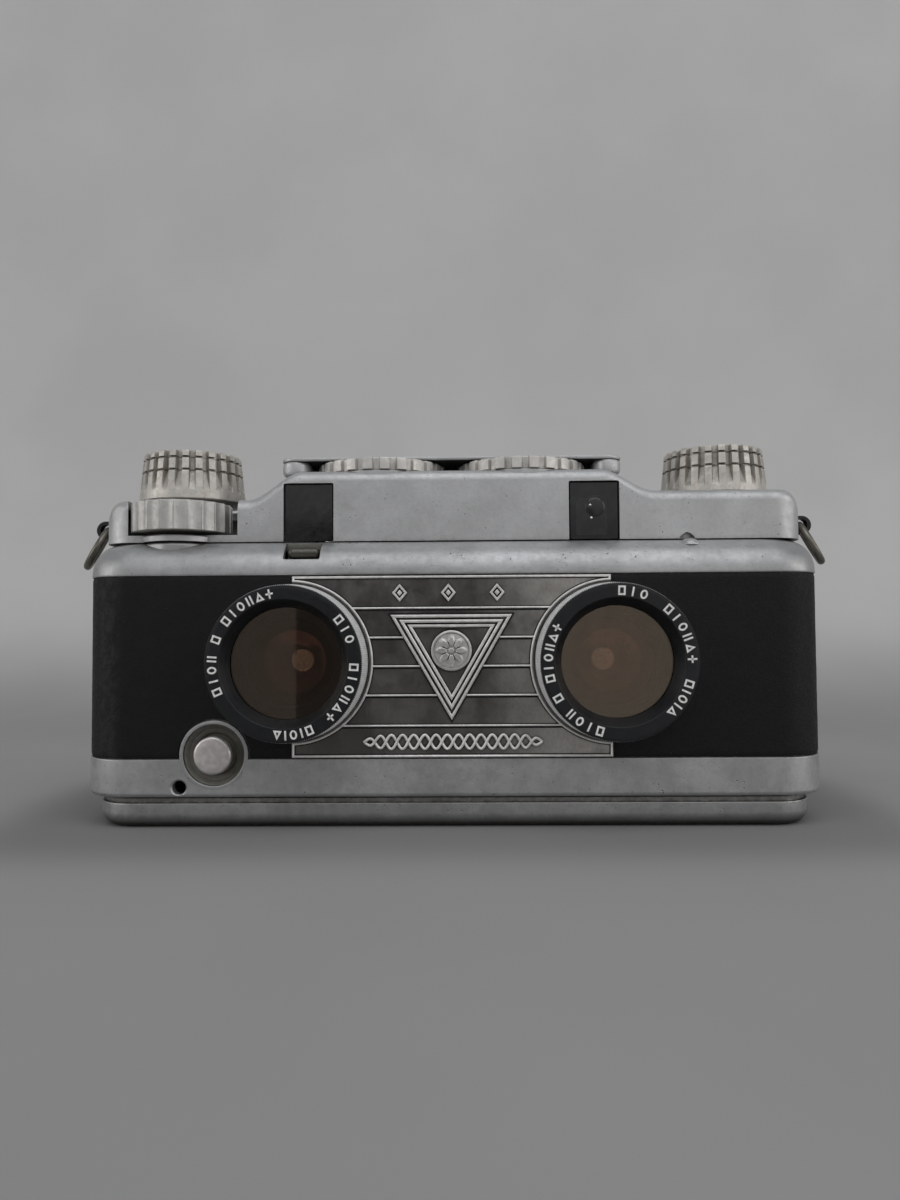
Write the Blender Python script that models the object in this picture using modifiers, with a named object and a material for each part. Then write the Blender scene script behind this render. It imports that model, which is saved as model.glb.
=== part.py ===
"""Vintage 35 mm stereo camera, modelled as an assembly of separate pieces.

Frame: X to the viewer's right, the lenses face -Y, Z up.  The origin is at the
centre of the footprint, on the surface that the camera stands on.  Sizes in the
constants are millimetres; every mesh is written in metres.
"""
import math

import bmesh
import bpy
from mathutils import Matrix, Vector

MM = 0.001
GAP = 0.3                       # clearance between neighbouring pieces

# ---- driving dimensions, mm --------------------------------------------------
LENS_X = 35.0                   # half the spacing of the two lenses
LENS_Z = 36.0                   # height of the lens axes above the base
FRONT_Y = -17.5                 # front plane of the body casting
BODY_HALF = 82.5                # half the width of the casting
CORNER_R = 11.0                 # plan radius of the casting's front corners
REAR_CORNER_R = 9.0
BODY_LOW = 6.7                  # lower edge of the casting
SHOULDER_Z = 55.5               # where the upper shoulder starts to curve
BODY_TOP = 62.8                 # seam between casting and top cover
SHOULDER_IN_X = 2.5             # how far the shoulder draws in at the ends
SHOULDER_IN_Y = 6.5             # how far it draws in at the front
WALL = 2.0
SEAM_Y = 10.0                   # the casting ends here, the back cover begins
BACK_Y = 22.95                  # outer face of the back cover
PANEL_LOW = 15.1                # leather and nameplate panel, lower edge
PANEL_TOP = 55.0
PANEL_DEPTH = 0.8

COVER_HALF = 80.3               # half the width of the top cover
COVER_FRONT = -11.0
COVER_REAR = 22.3
COVER_LOW = BODY_TOP + GAP
COVER_WALL = 1.8
DECK_RIGHT = 74.4
DECK_LEFT = 73.0
HUMP_TOP = 79.4
RAMP_INNER = 34.0               # the S-shaped ramps of the hump
RAMP_OUTER = 46.5
TRAY_HALF = 79.4                # base tray
TRAY_TOP = 5.5
TRAY_FRONT = -16.7
TRAY_REAR = 22.2
TRAY_WALL = 1.6

PLATE_HALF = 34.68              # nameplate
PLATE_ARC_R = 17.48
FILTER_R = 16.56                # push-on filter mounts
FILTER_FRONT = -25.75
FILTER_REAR = -18.2
GLASS_R = 11.85

WHEEL = (-62.7, -6.0)           # focus wheel axis
WHEEL_R = 11.3
WHEEL_LOW, WHEEL_TOP = 65.5, 72.2
WHEEL_FLUTES = 22
KNOB_X, KNOB_Y = 64.9, 8.5      # wind and rewind knob axes
KNOB_BASE_R, KNOB_TOP_R = 12.8, 11.65
KNOB_LOW, KNOB_TOP = 75.0, 86.2
SHAFT_R = 1.5                   # wind and rewind shafts
BORE_R = SHAFT_R + GAP
DIAL_X, DIAL_Y = 17.0, 4.5
DIAL_R = 15.3
DIAL_LOW, DIAL_TOP = 79.75, 82.4
DIAL_FLUTES = 24
BRIDGE_LOW, BRIDGE_TOP = 82.75, 83.6
BRIDGE_FRONT, BRIDGE_REAR = -4.5, 15.0
FOOT_X, FOOT_R = 36.85, 3.35

BUTTON = (-51.8, 16.0)          # shutter button, X and Z
BUTTON_R = 4.15
DISH_R, RIM_R = 6.7, 7.5
SOCKET = (-59.4, 8.95)          # cable release socket, X and Z
SOCKET_R = 1.52

WINDOW_X = 32.35                # finder windows
WINDOW_W = 11.4
WINDOW_TOP = 76.4
NOTCH = (-36.93, -28.86)        # level notch in the shoulder
NOTCH_LOW = 58.55

LUG_Y, LUG_Z = 0.5, 67.25       # strap lugs
LUG_TIP = 85.4
LUG_HOLE_X, LUG_HOLE_R = 82.9, 1.5
RING_R, RING_WIRE = 4.9, 0.9
RING_LEAN = math.radians(30)
RING_TURN = math.radians(20)    # the ring's rear half stands off from the body

FILM_Z_LOW, FILM_Z_TOP = 18.5, 53.5
GATE_Y = (14.9, 15.7)
APERTURE = (23.0, 24.0)
SPROCKET_Y = 9.9
KEY_X = 55.0

# ---- materials: colour, roughness, metallic ----------------------------------
MATERIALS = {
    "satin_casting": ((0.42, 0.43, 0.45), 0.45, 0.9),
    "black_leather": ((0.015, 0.016, 0.017), 0.6, 0.0),
    "pewter": ((0.16, 0.15, 0.14), 0.4, 0.9),
    "bright_trim": ((0.75, 0.74, 0.72), 0.25, 1.0),
    "black_enamel": ((0.012, 0.013, 0.016), 0.4, 0.1),
    "chrome": ((0.8, 0.8, 0.8), 0.15, 1.0),
    "amber_glass": ((0.20, 0.10, 0.06), 0.05, 0.0),
    "clear_glass": ((0.7, 0.75, 0.78), 0.03, 0.0),
    "dark_glass": ((0.012, 0.012, 0.013), 0.1, 0.0),
    "knob_metal": ((0.60, 0.57, 0.52), 0.4, 0.85),
    "button_metal": ((0.62, 0.58, 0.57), 0.4, 0.8),
    "black_metal": ((0.02, 0.02, 0.02), 0.5, 0.5),
    "ring_steel": ((0.35, 0.31, 0.26), 0.4, 0.95),
    "brass": ((0.55, 0.42, 0.20), 0.35, 1.0),
    "steel": ((0.55, 0.55, 0.56), 0.35, 1.0),
    "inner_black": ((0.01, 0.01, 0.01), 0.8, 0.0),
}


# ---- scene and object helpers ------------------------------------------------
def clear_scene():
    for obj in list(bpy.data.objects):
        bpy.data.objects.remove(obj, do_unlink=True)


def collection(name):
    found = bpy.data.collections.get(name) or bpy.data.collections.new(name)
    if name not in bpy.context.scene.collection.children:
        bpy.context.scene.collection.children.link(found)
    return found


def material(name):
    found = bpy.data.materials.get(name)
    if found:
        return found
    colour, roughness, metallic = MATERIALS[name]
    found = bpy.data.materials.new(name)
    found.use_nodes = True
    shader = found.node_tree.nodes["Principled BSDF"]
    shader.inputs["Base Color"].default_value = (*colour, 1.0)
    shader.inputs["Roughness"].default_value = roughness
    shader.inputs["Metallic"].default_value = metallic
    return found


def add(name, mesh, finish=None, smooth=0.0):
    """Link a mesh as a part, or as a hidden cutter when it has no finish."""
    obj = bpy.data.objects.new(name, mesh)
    if finish is None:
        collection("cutters").objects.link(obj)
        obj.hide_render = True
        obj.display_type = "WIRE"
        return obj
    collection("stereo_camera").objects.link(obj)
    mesh.materials.append(material(finish))
    if smooth:
        mesh.shade_smooth()
        mesh.set_sharp_from_angle(angle=math.radians(smooth))
    return obj


def hold(obj, empty):
    """Parent a piece to its joint's empty without moving it."""
    obj.parent = empty
    obj.matrix_parent_inverse = Matrix.Translation(empty.location).inverted()
    return obj


def pivot(name, x, y, z):
    empty = bpy.data.objects.new(name, None)
    empty.location = (x * MM, y * MM, z * MM)
    empty.empty_display_size = 0.01
    collection("stereo_camera").objects.link(empty)
    return empty


def boolean(obj, tool, operation="DIFFERENCE"):
    modifier = obj.modifiers.new(operation.lower() + "_" + tool.name, "BOOLEAN")
    modifier.operation = operation
    modifier.solver = "EXACT"
    modifier.object = tool
    return obj


def box_mesh(name, low, high):
    mesh = bpy.data.meshes.new(name)
    bm = bmesh.new()
    size = [(b - a) * MM for a, b in zip(low, high)]
    centre = [(a + b) * 0.5 * MM for a, b in zip(low, high)]
    matrix = Matrix.Translation(centre) @ Matrix.Diagonal((*size, 1.0))
    bmesh.ops.create_cube(bm, size=1.0, matrix=matrix)
    bm.to_mesh(mesh)
    bm.free()
    return mesh


def box(name, low, high, finish=None):
    return add(name, box_mesh(name, low, high), finish)


def cylinder(name, radius, start, end, finish=None, sides=32):
    """A cylinder between two points, given in millimetres."""
    mesh = bpy.data.meshes.new(name)
    bm = bmesh.new()
    start, end = Vector(start) * MM, Vector(end) * MM
    axis = end - start
    turn = Vector((0, 0, 1)).rotation_difference(axis).to_matrix().to_4x4()
    matrix = Matrix.Translation((start + end) * 0.5) @ turn
    bmesh.ops.create_cone(bm, cap_ends=True, segments=sides, radius1=radius * MM,
                          radius2=radius * MM, depth=axis.length, matrix=matrix)
    bm.to_mesh(mesh)
    bm.free()
    return add(name, mesh, finish, smooth=40)


def turned(name, profile, place, axis, finish=None, steps=48, closed=False):
    """Turn a profile of (radius, height) points about the axis through place.

    The outline runs from the top down its outer side; a closed outline makes a
    ring, an open one starts and ends on the axis.
    """
    mesh = bpy.data.meshes.new(name)
    points = [(r * MM, 0.0, h * MM) for r, h in profile]
    edges = [(i, i + 1) for i in range(len(points) - 1)]
    if closed:
        edges.append((len(points) - 1, 0))
    mesh.from_pydata(points, edges, [])
    obj = add(name, mesh, finish)
    obj.location = Vector(place) * MM
    if axis == "-Y":
        obj.rotation_euler = (math.radians(90), 0, 0)
    screw = obj.modifiers.new("turn", "SCREW")
    screw.axis = "Z"
    screw.steps = steps
    screw.render_steps = steps
    screw.use_merge_vertices = True
    screw.merge_threshold = 0.00001
    screw.use_smooth_shade = True
    return obj


def flat(name, outlines, low, high, facing, finish=None):
    """A flat plate: a filled 2D curve given half its thickness as extrude.

    facing "Z" reads the outline as X, Y between two heights; facing "Y" reads
    it as X, Z between two depths; facing "X" as Y, Z between two widths.
    """
    curve = bpy.data.curves.new(name, "CURVE")
    curve.dimensions = "2D"
    curve.fill_mode = "BOTH"
    curve.extrude = abs(high - low) * 0.5 * MM
    for outline in outlines:
        spline = curve.splines.new("POLY")
        spline.points.add(len(outline) - 1)
        for point, (a, b) in zip(spline.points, outline):
            point.co = (a * MM, b * MM, 0.0, 1.0)
        spline.use_cyclic_u = True
    holder = bpy.data.objects.new(name + "_curve", curve)
    bpy.context.scene.collection.objects.link(holder)
    middle = (low + high) * 0.5 * MM
    turns = {"Z": Matrix.Translation((0, 0, middle)),
             "Y": Matrix.Translation((0, middle, 0)) @ Matrix.Rotation(math.radians(90), 4, "X"),
             "X": Matrix.Translation((middle, 0, 0)) @ Matrix.Rotation(math.radians(90), 4, "Z")
             @ Matrix.Rotation(math.radians(90), 4, "X")}
    bpy.context.view_layer.update()
    graph = bpy.context.evaluated_depsgraph_get()
    mesh = bpy.data.meshes.new_from_object(holder.evaluated_get(graph))
    bpy.data.objects.remove(holder, do_unlink=True)
    bm = bmesh.new()
    bm.from_mesh(mesh)
    bmesh.ops.remove_doubles(bm, verts=bm.verts, dist=0.000005)
    bm.transform(turns[facing])
    bmesh.ops.recalc_face_normals(bm, faces=bm.faces)
    bm.to_mesh(mesh)
    bm.free()
    mesh.materials.clear()
    return add(name, mesh, finish)


def loft(name, sections, finish=None):
    """Skin a row of sections, each a closed loop of the same point count."""
    mesh = bpy.data.meshes.new(name)
    bm = bmesh.new()
    loops = [[bm.verts.new(Vector(p) * MM) for p in section] for section in sections]
    count = len(loops[0])
    for lower, upper in zip(loops, loops[1:]):
        for i in range(count):
            j = (i + 1) % count
            bm.faces.new((lower[i], lower[j], upper[j], upper[i]))
    bm.faces.new(loops[0][::-1])
    bm.faces.new(loops[-1])
    bmesh.ops.recalc_face_normals(bm, faces=bm.faces)
    bm.to_mesh(mesh)
    bm.free()
    return add(name, mesh, finish, smooth=35)


# ---- outlines ----------------------------------------------------------------
def arc(cx, cy, radius, start, end, steps):
    """Points along an arc, angles in degrees."""
    angles = [math.radians(start + (end - start) * i / steps) for i in range(steps + 1)]
    return [(cx + radius * math.cos(a), cy + radius * math.sin(a)) for a in angles]


def rectangle(x0, y0, x1, y1):
    return [(x0, y0), (x1, y0), (x1, y1), (x0, y1)]


def front_path(inset, rear, half=BODY_HALF, front=FRONT_Y, radius=CORNER_R, steps=5):
    """The casting's plan from its left rear, round the front, to its right rear."""
    hx, fy, r = half - inset, front + inset, radius - inset
    left = arc(-hx + r, fy + r, r, 180, 270, steps)
    right = arc(hx - r, fy + r, r, 270, 360, steps)
    return [(-hx, rear)] + left + right + [(hx, rear)]


def rear_path(inset, front, steps=4):
    """The back cover's plan from its right front, round the rear, to the left."""
    hx, ry, r = BODY_HALF - inset, BACK_Y - inset, REAR_CORNER_R - inset
    right = arc(hx - r, ry - r, r, 0, 90, steps)
    left = arc(-hx + r, ry - r, r, 90, 180, steps)
    return [(hx, front)] + right + left + [(-hx, front)]


def shoulder(z):
    """Fraction of the shoulder's draw-in at a height, a quarter ellipse."""
    rise = max(0.0, min(1.0, (z - SHOULDER_Z) / (BODY_TOP - SHOULDER_Z)))
    return 1.0 - math.sqrt(max(0.0, 1.0 - (0.97 * rise) ** 2))


def shoulder_heights(top, steps=5):
    return [SHOULDER_Z + (top - SHOULDER_Z) * math.sin(math.radians(90 * i / steps))
            for i in range(steps + 1)]


# ---- body shells ---------------------------------------------------------------
def front_section(z, inset, edge, rear):
    """The casting's cross-section at one height."""
    draw = shoulder(z + inset) / shoulder(BODY_TOP)
    half = BODY_HALF - inset - edge - SHOULDER_IN_X * draw
    front = FRONT_Y + inset + edge + SHOULDER_IN_Y * draw
    radius = CORNER_R - inset
    path = front_path(0.0, rear, half, front, radius)
    return [(x, y, z) for x, y in path]


def front_casting():
    outer = [(BODY_LOW, 0.9), (BODY_LOW + 0.5, 0.3), (BODY_LOW + 1.3, 0.0)]
    sections = [front_section(z, 0.0, edge, SEAM_Y) for z, edge in outer]
    sections += [front_section(z, 0.0, 0.0, SEAM_Y) for z in shoulder_heights(BODY_TOP)]
    shell = loft("front_shell", sections, "satin_casting")

    top = BODY_TOP - WALL
    rear = SEAM_Y + 2.0
    inner = [front_section(BODY_LOW - 2.0, WALL, 0.0, rear)]
    inner += [front_section(z, WALL, 0.0, rear) for z in shoulder_heights(BODY_TOP - WALL, 4)]
    boolean(shell, loft("casting_cavity", inner))

    boss = cylinder("casting_boss", 8.7, (*WHEEL, top - 2.0), (*WHEEL, BODY_TOP))
    boolean(shell, boss, "UNION")

    outside = front_path(-1.0, SEAM_Y + 1.0)
    inside = front_path(PANEL_DEPTH, SEAM_Y + 1.0)
    panel = flat("panel_recess", [outside + inside[::-1]], PANEL_LOW, PANEL_TOP, "Z")
    boolean(shell, panel)

    for side in (-1, 1):
        bore = cylinder("lens_bore_%+d" % side, 17.0, (side * LENS_X, FRONT_Y - 2, LENS_Z),
                        (side * LENS_X, FRONT_Y + 4, LENS_Z), sides=36)
        boolean(shell, bore)
    x, z = BUTTON
    boolean(shell, cylinder("button_bore", RIM_R + GAP, (x, FRONT_Y - 2, z), (x, FRONT_Y + 4, z)))
    x, z = SOCKET
    boolean(shell, cylinder("socket_bore", SOCKET_R, (x, FRONT_Y - 2, z), (x, FRONT_Y + 4, z),
                            sides=20))
    notch = box("level_notch", (NOTCH[0], FRONT_Y - 1, NOTCH_LOW), (NOTCH[1], -12.2, BODY_TOP + 1))
    boolean(shell, notch)
    holes = [("focus_bore", WHEEL[0], WHEEL[1], 2.4), ("wind_bore", -KNOB_X, KNOB_Y, BORE_R),
             ("rewind_bore", KNOB_X, KNOB_Y, BORE_R)]
    for name, hx, hy, radius in holes:
        boolean(shell, cylinder(name, radius, (hx, hy, top - 4), (hx, hy, BODY_TOP + 1), sides=20))
    return shell


def rear_section(z, inset, edge, front):
    draw = shoulder(z + inset) / shoulder(BODY_TOP)
    cut = inset + edge
    path = rear_path(cut, front)
    squeeze = (BODY_HALF - cut - SHOULDER_IN_X * draw) / (BODY_HALF - cut)
    return [(x * squeeze, y - 0.6 * draw * (y > front + 0.1), z) for x, y in path]


def tray_section(z, inset):
    hx, front, rear, r = TRAY_HALF - inset, TRAY_FRONT + inset, TRAY_REAR - inset, 9.0 - inset
    corners = ((-hx + r, front + r, 180), (hx - r, front + r, 270),
               (hx - r, rear - r, 0), (-hx + r, rear - r, 90))
    path = [p for cx, cy, start in corners for p in arc(cx, cy, r, start, start + 90, 4)]
    return [(x, y, z) for x, y in path]


def back_and_base(pivot_empty):
    """The removable back: a rear wall and the base tray under the casting."""
    front = SEAM_Y + GAP
    sections = [rear_section(z, 0.0, edge, front)
                for z, edge in ((BODY_LOW, 0.9), (BODY_LOW + 0.5, 0.3), (BODY_LOW + 1.3, 0.0))]
    sections += [rear_section(z, 0.0, 0.0, front) for z in shoulder_heights(BODY_TOP, 4)]
    back = loft("back_cover", sections, "satin_casting")

    inner = [rear_section(BODY_LOW - 2.0, 1.7, 0.0, front - 2.0)]
    inner += [rear_section(z, 1.7, 0.0, front - 2.0) for z in shoulder_heights(BODY_TOP - WALL, 3)]
    boolean(back, loft("back_cavity", inner))

    outside, inside = rear_path(-1.0, front - 1.0), rear_path(PANEL_DEPTH, front - 1.0)
    panel = flat("back_recess", [outside + inside[::-1]], PANEL_LOW, PANEL_TOP, "Z")
    boolean(back, panel)

    boolean(back, base_tray(), "UNION")
    neck = box("tray_neck", (-74, 20.65, 3.0), (74, 21.95, 10.0))
    boolean(back, neck, "UNION")

    holes = [("tripod_hole", 0.0, 8.3)] + [("key_hole_%+d" % s, s * KEY_X, 8.3) for s in (-1, 1)]
    for name, x, radius in holes:
        boolean(back, cylinder(name, radius, (x, 0, -1), (x, 0, TRAY_WALL + 1.4)))
    return hold(back, pivot_empty)


def base_tray():
    """The shallow pan that closes the camera's underside."""
    round_r = 3.2
    angles = [math.radians(22.5 * i) for i in range(5)]
    sections = [tray_section(round_r * (1 - math.cos(a)), round_r * (1 - math.sin(a)))
                for a in angles]
    sections.append(tray_section(TRAY_TOP, 0.0))
    tray = loft("base_tray", sections)
    cavity = loft("tray_cavity", [tray_section(TRAY_WALL, 3.2), tray_section(3.2, 1.8),
                                  tray_section(TRAY_TOP + 1, 1.8)])
    return boolean(tray, cavity)


def cover_height(x, inset):
    """Top of the cover at a place across its width."""
    half = COVER_HALF - inset
    deck = (DECK_RIGHT if x > 0 else DECK_LEFT) - inset
    reach = min(1.0, max(0.0, (abs(x) - RAMP_INNER) / (RAMP_OUTER - RAMP_INNER)))
    blend = reach * reach * (3 - 2 * reach)
    height = (HUMP_TOP - inset) * (1 - blend) + deck * blend
    radius = 5.0 - inset * 0.5
    over = max(0.0, abs(x) - (half - radius))
    return height - (radius - math.sqrt(max(0.0, radius ** 2 - over ** 2)))


def cover_section(x, inset, low, steps=4):
    """The cover's cross-section at one place across its width."""
    half, radius = COVER_HALF - inset, 7.0 - inset
    over = max(0.0, abs(x) - (half - radius))
    pull = radius - math.sqrt(max(0.0, radius ** 2 - over ** 2))
    front, rear = COVER_FRONT + inset + pull, COVER_REAR - inset - pull
    top, edge = cover_height(x, inset), 2.6 - inset * 0.8
    path = [(front, low)] + arc(front + edge, top - edge, edge, 180, 90, steps)
    path += arc(rear - edge, top - edge, edge, 90, 0, steps) + [(rear, low)]
    return [(x, y, z) for y, z in path]


def cover_stations(inset):
    half = COVER_HALF - inset
    ends = [half - 7.0 + 7.0 * math.sin(math.radians(18 * i)) for i in range(6)]
    ramp = [RAMP_INNER + (RAMP_OUTER - RAMP_INNER) * i / 5 for i in range(6)]
    right = [0.0] + ramp + ends
    return [-x for x in right[:0:-1]] + right


def top_cover():
    cover = loft("top_cover", [cover_section(x, 0.0, COVER_LOW) for x in cover_stations(0.0)],
                 "satin_casting")
    cavity = [cover_section(x, COVER_WALL, COVER_LOW - 2, 2) for x in cover_stations(COVER_WALL)]
    boolean(cover, loft("cover_cavity", cavity))
    boss = cylinder("cover_boss", 8.9, (*WHEEL, COVER_LOW), (*WHEEL, COVER_LOW + 1.5))
    boolean(cover, boss, "UNION")
    pocket = box("wheel_pocket", (-72.8, COVER_FRONT - 1, COVER_LOW + 1.6), (-48.5, 12.6, 80))
    boolean(cover, pocket)
    boolean(cover, cylinder("wheel_clearance", WHEEL_R + 0.6, (*WHEEL, COVER_LOW + 1.6), (*WHEEL, 80),
                            sides=40))
    for side in (-1, 1):
        low = (side * WINDOW_X - WINDOW_W / 2, COVER_FRONT - 1, COVER_LOW - 1)
        high = (side * WINDOW_X + WINDOW_W / 2, COVER_FRONT + 4, WINDOW_TOP)
        boolean(cover, box("window_cut_%+d" % side, low, high))
        boolean(cover, cylinder("dial_bore_%+d" % side, 2.4, (side * DIAL_X, DIAL_Y, 70),
                                (side * DIAL_X, DIAL_Y, 81), sides=20))
    boolean(cover, cylinder("focus_bore_cover", 2.4, (*WHEEL, 60), (*WHEEL, 66), sides=20))
    boolean(cover, cylinder("rewind_bore_cover", BORE_R, (KNOB_X, KNOB_Y, 70), (KNOB_X, KNOB_Y, 76),
                            sides=20))
    boolean(cover, cylinder("eyepiece_bore", 5.2, (-WINDOW_X, 18, 69.5), (-WINDOW_X, 24, 69.5)))
    return cover


# ---- coverings and trim ----------------------------------------------------------
def leather_panels(back_pivot):
    outside, inside = front_path(0.1, SEAM_Y - GAP), front_path(0.5, SEAM_Y - GAP)
    low, high = PANEL_LOW + GAP, PANEL_TOP - GAP
    middle = len(outside) // 2
    for name, side in (("leather_left", -1), ("leather_right", 1)):
        edge = PLATE_HALF + GAP
        outer = outside[:middle] if side < 0 else outside[middle:]
        inner = inside[:middle] if side < 0 else inside[middle:]
        if side < 0:
            ring = outer + [(-edge, outer[-1][1]), (-edge, inner[-1][1])] + inner[::-1]
        else:
            ring = [(edge, outer[0][1])] + outer + inner[::-1] + [(edge, inner[0][1])]
        panel = flat(name, [ring], low, high, "Z", "black_leather")
        bore = cylinder("leather_lens_cut_%+d" % side, 17.2, (side * LENS_X, FRONT_Y - 2, LENS_Z),
                        (side * LENS_X, FRONT_Y + 4, LENS_Z), sides=36)
        boolean(panel, bore)
        if side < 0:
            x, z = BUTTON
            boolean(panel, cylinder("leather_button_cut", RIM_R + 2 * GAP, (x, FRONT_Y - 2, z),
                                    (x, FRONT_Y + 4, z)))
    outside, inside = rear_path(0.1, SEAM_Y + 2 * GAP), rear_path(0.5, SEAM_Y + 2 * GAP)
    hold(flat("back_leather", [outside + inside[::-1]], low, high, "Z", "black_leather"),
         back_pivot)


def plate_outline(half, low, high, radius):
    """The nameplate: a rectangle bitten by an arc round each lens."""
    def bite(cx, start, end):
        return arc(cx, LENS_Z, radius, start, end, 20)
    inner = math.degrees(math.acos((LENS_X - half) / radius))
    right = bite(LENS_X, 180 + inner, 180 - inner)
    left = bite(-LENS_X, inner, -inner)
    bottom = [(-half, low), (half, low)]
    top = [(half, high), (-half, high)]
    return bottom + right + top + left


def nameplate():
    low, high = LENS_Z - 20.6, LENS_Z + 18.7
    flat("nameplate", [plate_outline(PLATE_HALF, low, high, PLATE_ARC_R)],
         FRONT_Y, FRONT_Y + 0.5, "Y", "pewter")
    outer = [(-13.2, 46.2), (13.2, 46.2), (0.0, 23.4)]
    inner = [(-9.6, 43.9), (9.6, 43.9), (0.0, 27.5)]
    flat("emblem_frame", [outer, inner], FRONT_Y - 1.1, FRONT_Y - GAP, "Y", "bright_trim")
    profile = [(0, 1.0), (2.4, 0.9), (4.0, 0.5), (4.3, 0.0), (0, 0)]
    turned("emblem_medallion", profile, (0, FRONT_Y - GAP, 38.4), "-Y", "bright_trim", 24)


# ---- lenses, filters and shutters --------------------------------------------------
def lens_unit(side, tag, carriage):
    x = side * LENS_X
    barrel = [(14.6, 21.5), (14.6, 10.3), (11.0, 10.3), (11.0, 3.0), (9.2, 3.0), (9.2, 8.0),
              (7.4, 9.0), (7.4, 13.0), (9.6, 14.2), (9.6, 17.2), (13.0, 21.5)]
    hold(turned("lens_barrel_" + tag, barrel, (x, 0, LENS_Z), "-Y", "black_enamel", 32, True),
         carriage)
    front = [(0, 17.4), (4.5, 17.0), (9.2, 15.6), (9.2, 14.6), (0, 14.6)]
    hold(turned("lens_front_" + tag, front, (x, 0, LENS_Z), "-Y", "clear_glass", 24), carriage)
    rear = [(0, 7.2), (8.8, 7.2), (8.8, 5.0), (4.5, 4.0), (0, 3.7)]
    hold(turned("lens_rear_" + tag, rear, (x, 0, LENS_Z), "-Y", "clear_glass", 24), carriage)
    housing = [(18.2, 13.4), (18.2, 10.3), (14.9, 10.3), (14.9, 13.4)]
    hold(turned("shutter_housing_" + tag, housing, (x, 0, LENS_Z), "-Y", "black_metal", 32, True),
         carriage)


def filter_unit(side, tag, empty):
    x = side * LENS_X
    ring = [(FILTER_R - 0.5, -FILTER_FRONT), (FILTER_R, -FILTER_FRONT - 0.7),
            (FILTER_R, -FILTER_REAR), (14.9, -FILTER_REAR), (14.9, 21.8), (13.3, 21.8),
            (13.3, 22.75), (GLASS_R, 22.75), (GLASS_R, 22.95), (13.3, -FILTER_FRONT)]
    hold(turned("filter_ring_" + tag, ring, (x, 0, LENS_Z), "-Y", "black_enamel", 36, True), empty)
    glass = [(0, 22.45), (13.0, 22.45), (13.0, 21.85), (0, 21.85)]
    hold(turned("filter_glass_" + tag, glass, (x, 0, LENS_Z), "-Y", "amber_glass", 32), empty)


def optics():
    carriage = pivot("lens_carriage", 0, -9.2, LENS_Z)
    circle = [arc(s * LENS_X, LENS_Z, 11.3, 0, 350, 35) for s in (-1, 1)]
    board = flat("lens_board", [rectangle(-56, 20, 52, 52)] + circle, -10.0, -8.5, "Y",
                 "black_metal")
    hold(board, carriage)
    for side, tag in ((-1, "left"), (1, "right")):
        lens_unit(side, tag, carriage)
        place = pivot("filter_" + tag, side * LENS_X, FILTER_REAR, LENS_Z)
        hold(place, carriage)
        filter_unit(side, tag, place)


# ---- knobs, wheels and dials ----------------------------------------------------------
def fluted_outline(cx, cy, radius, depth, count, points=6):
    """A wheel outline of shallow convex lobes between narrow valleys."""
    outline = []
    for i in range(count):
        for j in range(points):
            phase = j / points
            lobe = math.sin(math.pi * phase) ** 0.5
            angle = 2 * math.pi * (i + phase) / count
            r = radius - depth * (1 - lobe)
            outline.append((cx + r * math.cos(angle), cy + r * math.sin(angle)))
    return outline


def focus_group():
    place = pivot("focus_axis", *WHEEL, WHEEL_LOW)
    wheel = flat("focus_wheel", [fluted_outline(*WHEEL, WHEEL_R, 0.55, WHEEL_FLUTES, 4)],
                 WHEEL_LOW, WHEEL_TOP, "Z", "knob_metal")
    shaft = cylinder("focus_shaft", 2.0, (*WHEEL, 34), (*WHEEL, WHEEL_LOW - GAP), "steel", 20)
    ring = [arc(WHEEL[0] - 0.6, WHEEL[1], 4.6, 0, 345, 23), arc(*WHEEL, 2.3, 0, 340, 17)]
    cam = flat("focus_cam", ring, 38, 41, "Z", "brass")
    for piece in (wheel, shaft, cam):
        hold(piece, place)


def knob(name, side, hub_low, place):
    """A tapered grip knob with a dished top and a bored hub."""
    x = side * KNOB_X
    profile = [(0, KNOB_TOP - 1.2), (9.4, KNOB_TOP - 1.2), (9.8, KNOB_TOP),
               (KNOB_TOP_R - 0.4, KNOB_TOP), (KNOB_TOP_R, KNOB_TOP - 0.5),
               (KNOB_BASE_R, KNOB_LOW + 1.0), (KNOB_BASE_R, KNOB_LOW), (6.0, KNOB_LOW),
               (6.0, hub_low), (BORE_R, hub_low), (BORE_R, KNOB_TOP - 2.4), (0, KNOB_TOP - 2.4)]
    return hold(turned(name, profile, (x, KNOB_Y, 0), "Z", "knob_metal", 32), place)


def wind_group():
    place = pivot("wind_axis", -KNOB_X, KNOB_Y, KNOB_LOW)
    knob("wind_knob", -1, DECK_LEFT + GAP, place)
    shaft = cylinder("wind_shaft", SHAFT_R, (-KNOB_X, KNOB_Y, 14), (-KNOB_X, KNOB_Y, KNOB_TOP - 2.7),
                     "steel", 20)
    spool = [(9.5, 54.6), (9.5, 53.6), (5.2, 53.6), (5.2, 18.4), (9.5, 18.4), (9.5, 17.4),
             (BORE_R, 17.4), (BORE_R, 54.6)]
    reel = turned("take_up_spool", spool, (-KNOB_X, KNOB_Y, 0), "Z", "black_metal", 24, True)
    hold(shaft, place)
    hold(reel, place)


def rewind_group():
    place = pivot("rewind_axis", KNOB_X, KNOB_Y, KNOB_LOW)
    knob("rewind_knob", 1, DECK_RIGHT + GAP, place)
    shaft = cylinder("rewind_shaft", SHAFT_R, (KNOB_X, KNOB_Y, 56), (KNOB_X, KNOB_Y, KNOB_TOP - 2.7),
                     "steel", 20)
    blade = box("fork_blade", (KNOB_X - 2.6, KNOB_Y - 0.7, 52), (KNOB_X + 2.6, KNOB_Y + 0.7, 58))
    boolean(shaft, blade, "UNION")
    hold(shaft, place)


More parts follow.
